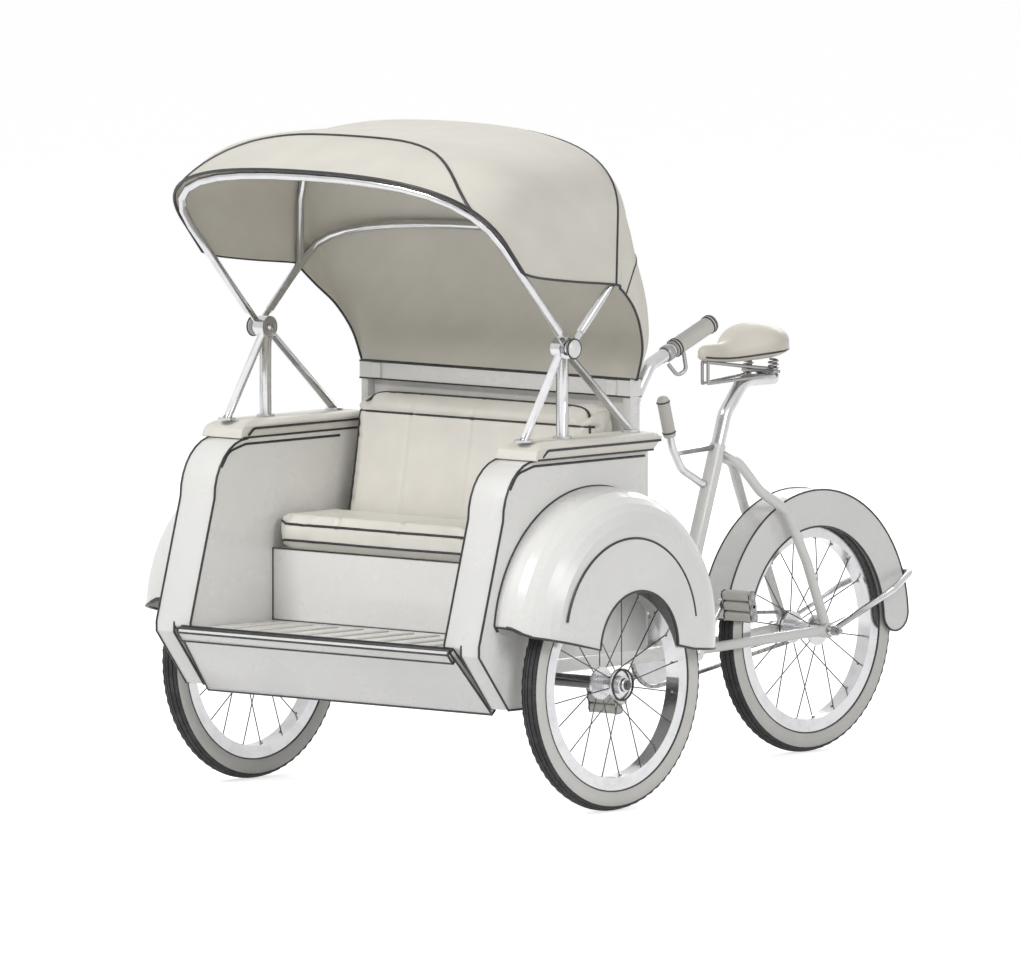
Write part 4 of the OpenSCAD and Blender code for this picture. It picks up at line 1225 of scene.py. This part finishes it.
def build_stage():
    scene = bpy.context.scene
    scene.view_settings.view_transform = "Standard"
    back = Vector((sin(CAMERA_TURN) * cos(CAMERA_RISE), -cos(CAMERA_TURN) * cos(CAMERA_RISE), sin(CAMERA_RISE)))
    lens = bpy.data.cameras.new("camera")
    lens.sensor_width = 36.0
    lens.lens = 36.0 * CAMERA_DISTANCE / VIEW_WIDTH
    lens.clip_end = 400.0
    camera = bpy.data.objects.new("camera", lens)
    camera.location = CAMERA_AIM + back * CAMERA_DISTANCE
    camera.rotation_euler = (-back).to_track_quat("-Z", "Y").to_euler()
    scene.collection.objects.link(camera)
    scene.camera = camera
    build_floor()
    build_lights()


def build_floor():
    bm = bmesh.new()
    bmesh.ops.create_grid(bm, x_segments=1, y_segments=1, size=180.0)
    floor = place_mesh("floor", bm, None, "enamel")
    floor.data.materials.clear()
    material, tree, shader, _ = start_material("floor_white", Base_Color=(0.80, 0.80, 0.80, 1.0), Roughness=0.9)
    out = tree.nodes["Material Output"]
    glow = add(tree, "ShaderNodeEmission", [("Color", (1.0, 1.0, 1.0, 1.0)), ("Strength", 0.66)])
    both = add(tree, "ShaderNodeAddShader")
    tree.links.new(shader.outputs[0], both.inputs[0])
    tree.links.new(glow.outputs[0], both.inputs[1])
    path = add(tree, "ShaderNodeLightPath")
    seen = add(tree, "ShaderNodeMath", [(0, path.outputs["Is Camera Ray"]), (1, path.outputs["Is Glossy Ray"])],
               operation="MAXIMUM")
    pick = add(tree, "ShaderNodeMixShader", [(0, seen.outputs[0])])
    tree.links.new(shader.outputs[0], pick.inputs[1])
    tree.links.new(both.outputs[0], pick.inputs[2])
    tree.links.new(pick.outputs[0], out.inputs["Surface"])
    floor.data.materials.append(material)


def build_lights():
    scene = bpy.context.scene
    world = bpy.data.worlds.new("studio")
    world.use_nodes = True
    tree = world.node_tree
    background = tree.nodes["Background"]
    path = add(tree, "ShaderNodeLightPath")
    seen = add(tree, "ShaderNodeMath", [(0, path.outputs["Is Camera Ray"]), (1, path.outputs["Is Glossy Ray"])],
               operation="MAXIMUM")
    both = add(tree, "ShaderNodeMath", [(0, seen.outputs[0]), (1, path.outputs["Is Transmission Ray"])],
               operation="MAXIMUM")
    level = add(tree, "ShaderNodeMapRange", [("Value", both.outputs[0]), ("To Min", 0.34), ("To Max", 1.0)])
    tree.links.new(level.outputs[0], background.inputs["Strength"])
    background.inputs["Color"].default_value = (1.0, 1.0, 1.0, 1.0)
    scene.world = world
    for name, place, power, size in (("key", (-1.5, -7.0, 6.5), 420.0, 3.0), ("side", (7.5, -2.0, 4.0), 190.0, 3.5),
                                     ("rim", (-4.0, 7.0, 5.0), 260.0, 4.0)):
        lamp = bpy.data.lights.new(name, "AREA")
        lamp.energy = power
        lamp.size = size
        light = bpy.data.objects.new(name, lamp)
        light.location = place
        light.rotation_euler = (Vector((0, 0, 0.8)) - Vector(place)).to_track_quat("-Z", "Y").to_euler()
        scene.collection.objects.link(light)


# ---- operators

class RickshawStage(bpy.types.Operator):
    """Camera, floor and lights"""
    bl_idname = "rickshaw.stage"
    bl_label = "Stage"

    def execute(self, context):
        build_stage()
        return {"FINISHED"}


class RickshawWheels(bpy.types.Operator):
    """Tyres with tread, beads, nipples, valves and hub caps"""
    bl_idname = "rickshaw.wheels"
    bl_label = "Wheels"

    def execute(self, context):
        build_wheels()
        return {"FINISHED"}


class RickshawCabin(bpy.types.Operator):
    """Walls, floor, apron, seat base and rail with their beading"""
    bl_idname = "rickshaw.cabin"
    bl_label = "Cabin"

    def execute(self, context):
        build_cabin()
        return {"FINISHED"}


class RickshawFenders(bpy.types.Operator):
    """Front and rear fenders with rolled edges"""
    bl_idname = "rickshaw.fenders"
    bl_label = "Fenders"

    def execute(self, context):
        build_fenders()
        return {"FINISHED"}


class RickshawUpholstery(bpy.types.Operator):
    """Seat cushion, backrest and armrests with piping"""
    bl_idname = "rickshaw.upholstery"
    bl_label = "Upholstery"

    def execute(self, context):
        build_seat()
        build_backrest()
        build_armrests()
        return {"FINISHED"}


class RickshawHood(bpy.types.Operator):
    """Roof, curtain, seams and hems of the hood"""
    bl_idname = "rickshaw.hood"
    bl_label = "Hood"

    def execute(self, context):
        build_bows()
        build_hood()
        return {"FINISHED"}


class RickshawRear(bpy.types.Operator):
    """Frame, saddle, handles and chain of the rider's half"""
    bl_idname = "rickshaw.rear"
    bl_label = "Rear half"

    def execute(self, context):
        build_rear_frame()
        build_saddle()
        build_springs()
        build_handles()
        build_chain()
        return {"FINISHED"}


OPERATORS = (RickshawStage, RickshawWheels, RickshawCabin, RickshawFenders, RickshawUpholstery, RickshawHood,
             RickshawRear)


class RickshawPanel(bpy.types.Panel):
    """Lists the rickshaw's makers and its sizes and colours"""
    bl_idname = "VIEW3D_PT_rickshaw"
    bl_label = "Rickshaw"
    bl_space_type = "VIEW_3D"
    bl_region_type = "UI"
    bl_category = "Rickshaw"

    def draw(self, context):
        for group in (context.scene.rickshaw_sizes, context.scene.rickshaw_colours):
            for name in group.__annotations__:
                self.layout.prop(group, name)
        for operator in OPERATORS:
            self.layout.operator(operator.bl_idname)


CLASSES = (RickshawColours, RickshawSizes) + OPERATORS + (RickshawPanel,)


def register():
    for cls in CLASSES:
        bpy.utils.register_class(cls)
    bpy.types.Scene.rickshaw_colours = PointerProperty(type=RickshawColours)
    bpy.types.Scene.rickshaw_sizes = PointerProperty(type=RickshawSizes)


def unregister():
    del bpy.types.Scene.rickshaw_sizes
    del bpy.types.Scene.rickshaw_colours
    for cls in reversed(CLASSES):
        bpy.utils.unregister_class(cls)


def main():
    register()
    for call in (bpy.ops.rickshaw.stage, bpy.ops.rickshaw.wheels, bpy.ops.rickshaw.cabin, bpy.ops.rickshaw.fenders,
                 bpy.ops.rickshaw.upholstery, bpy.ops.rickshaw.hood, bpy.ops.rickshaw.rear):
        call()


if __name__ == "__main__":
    main()
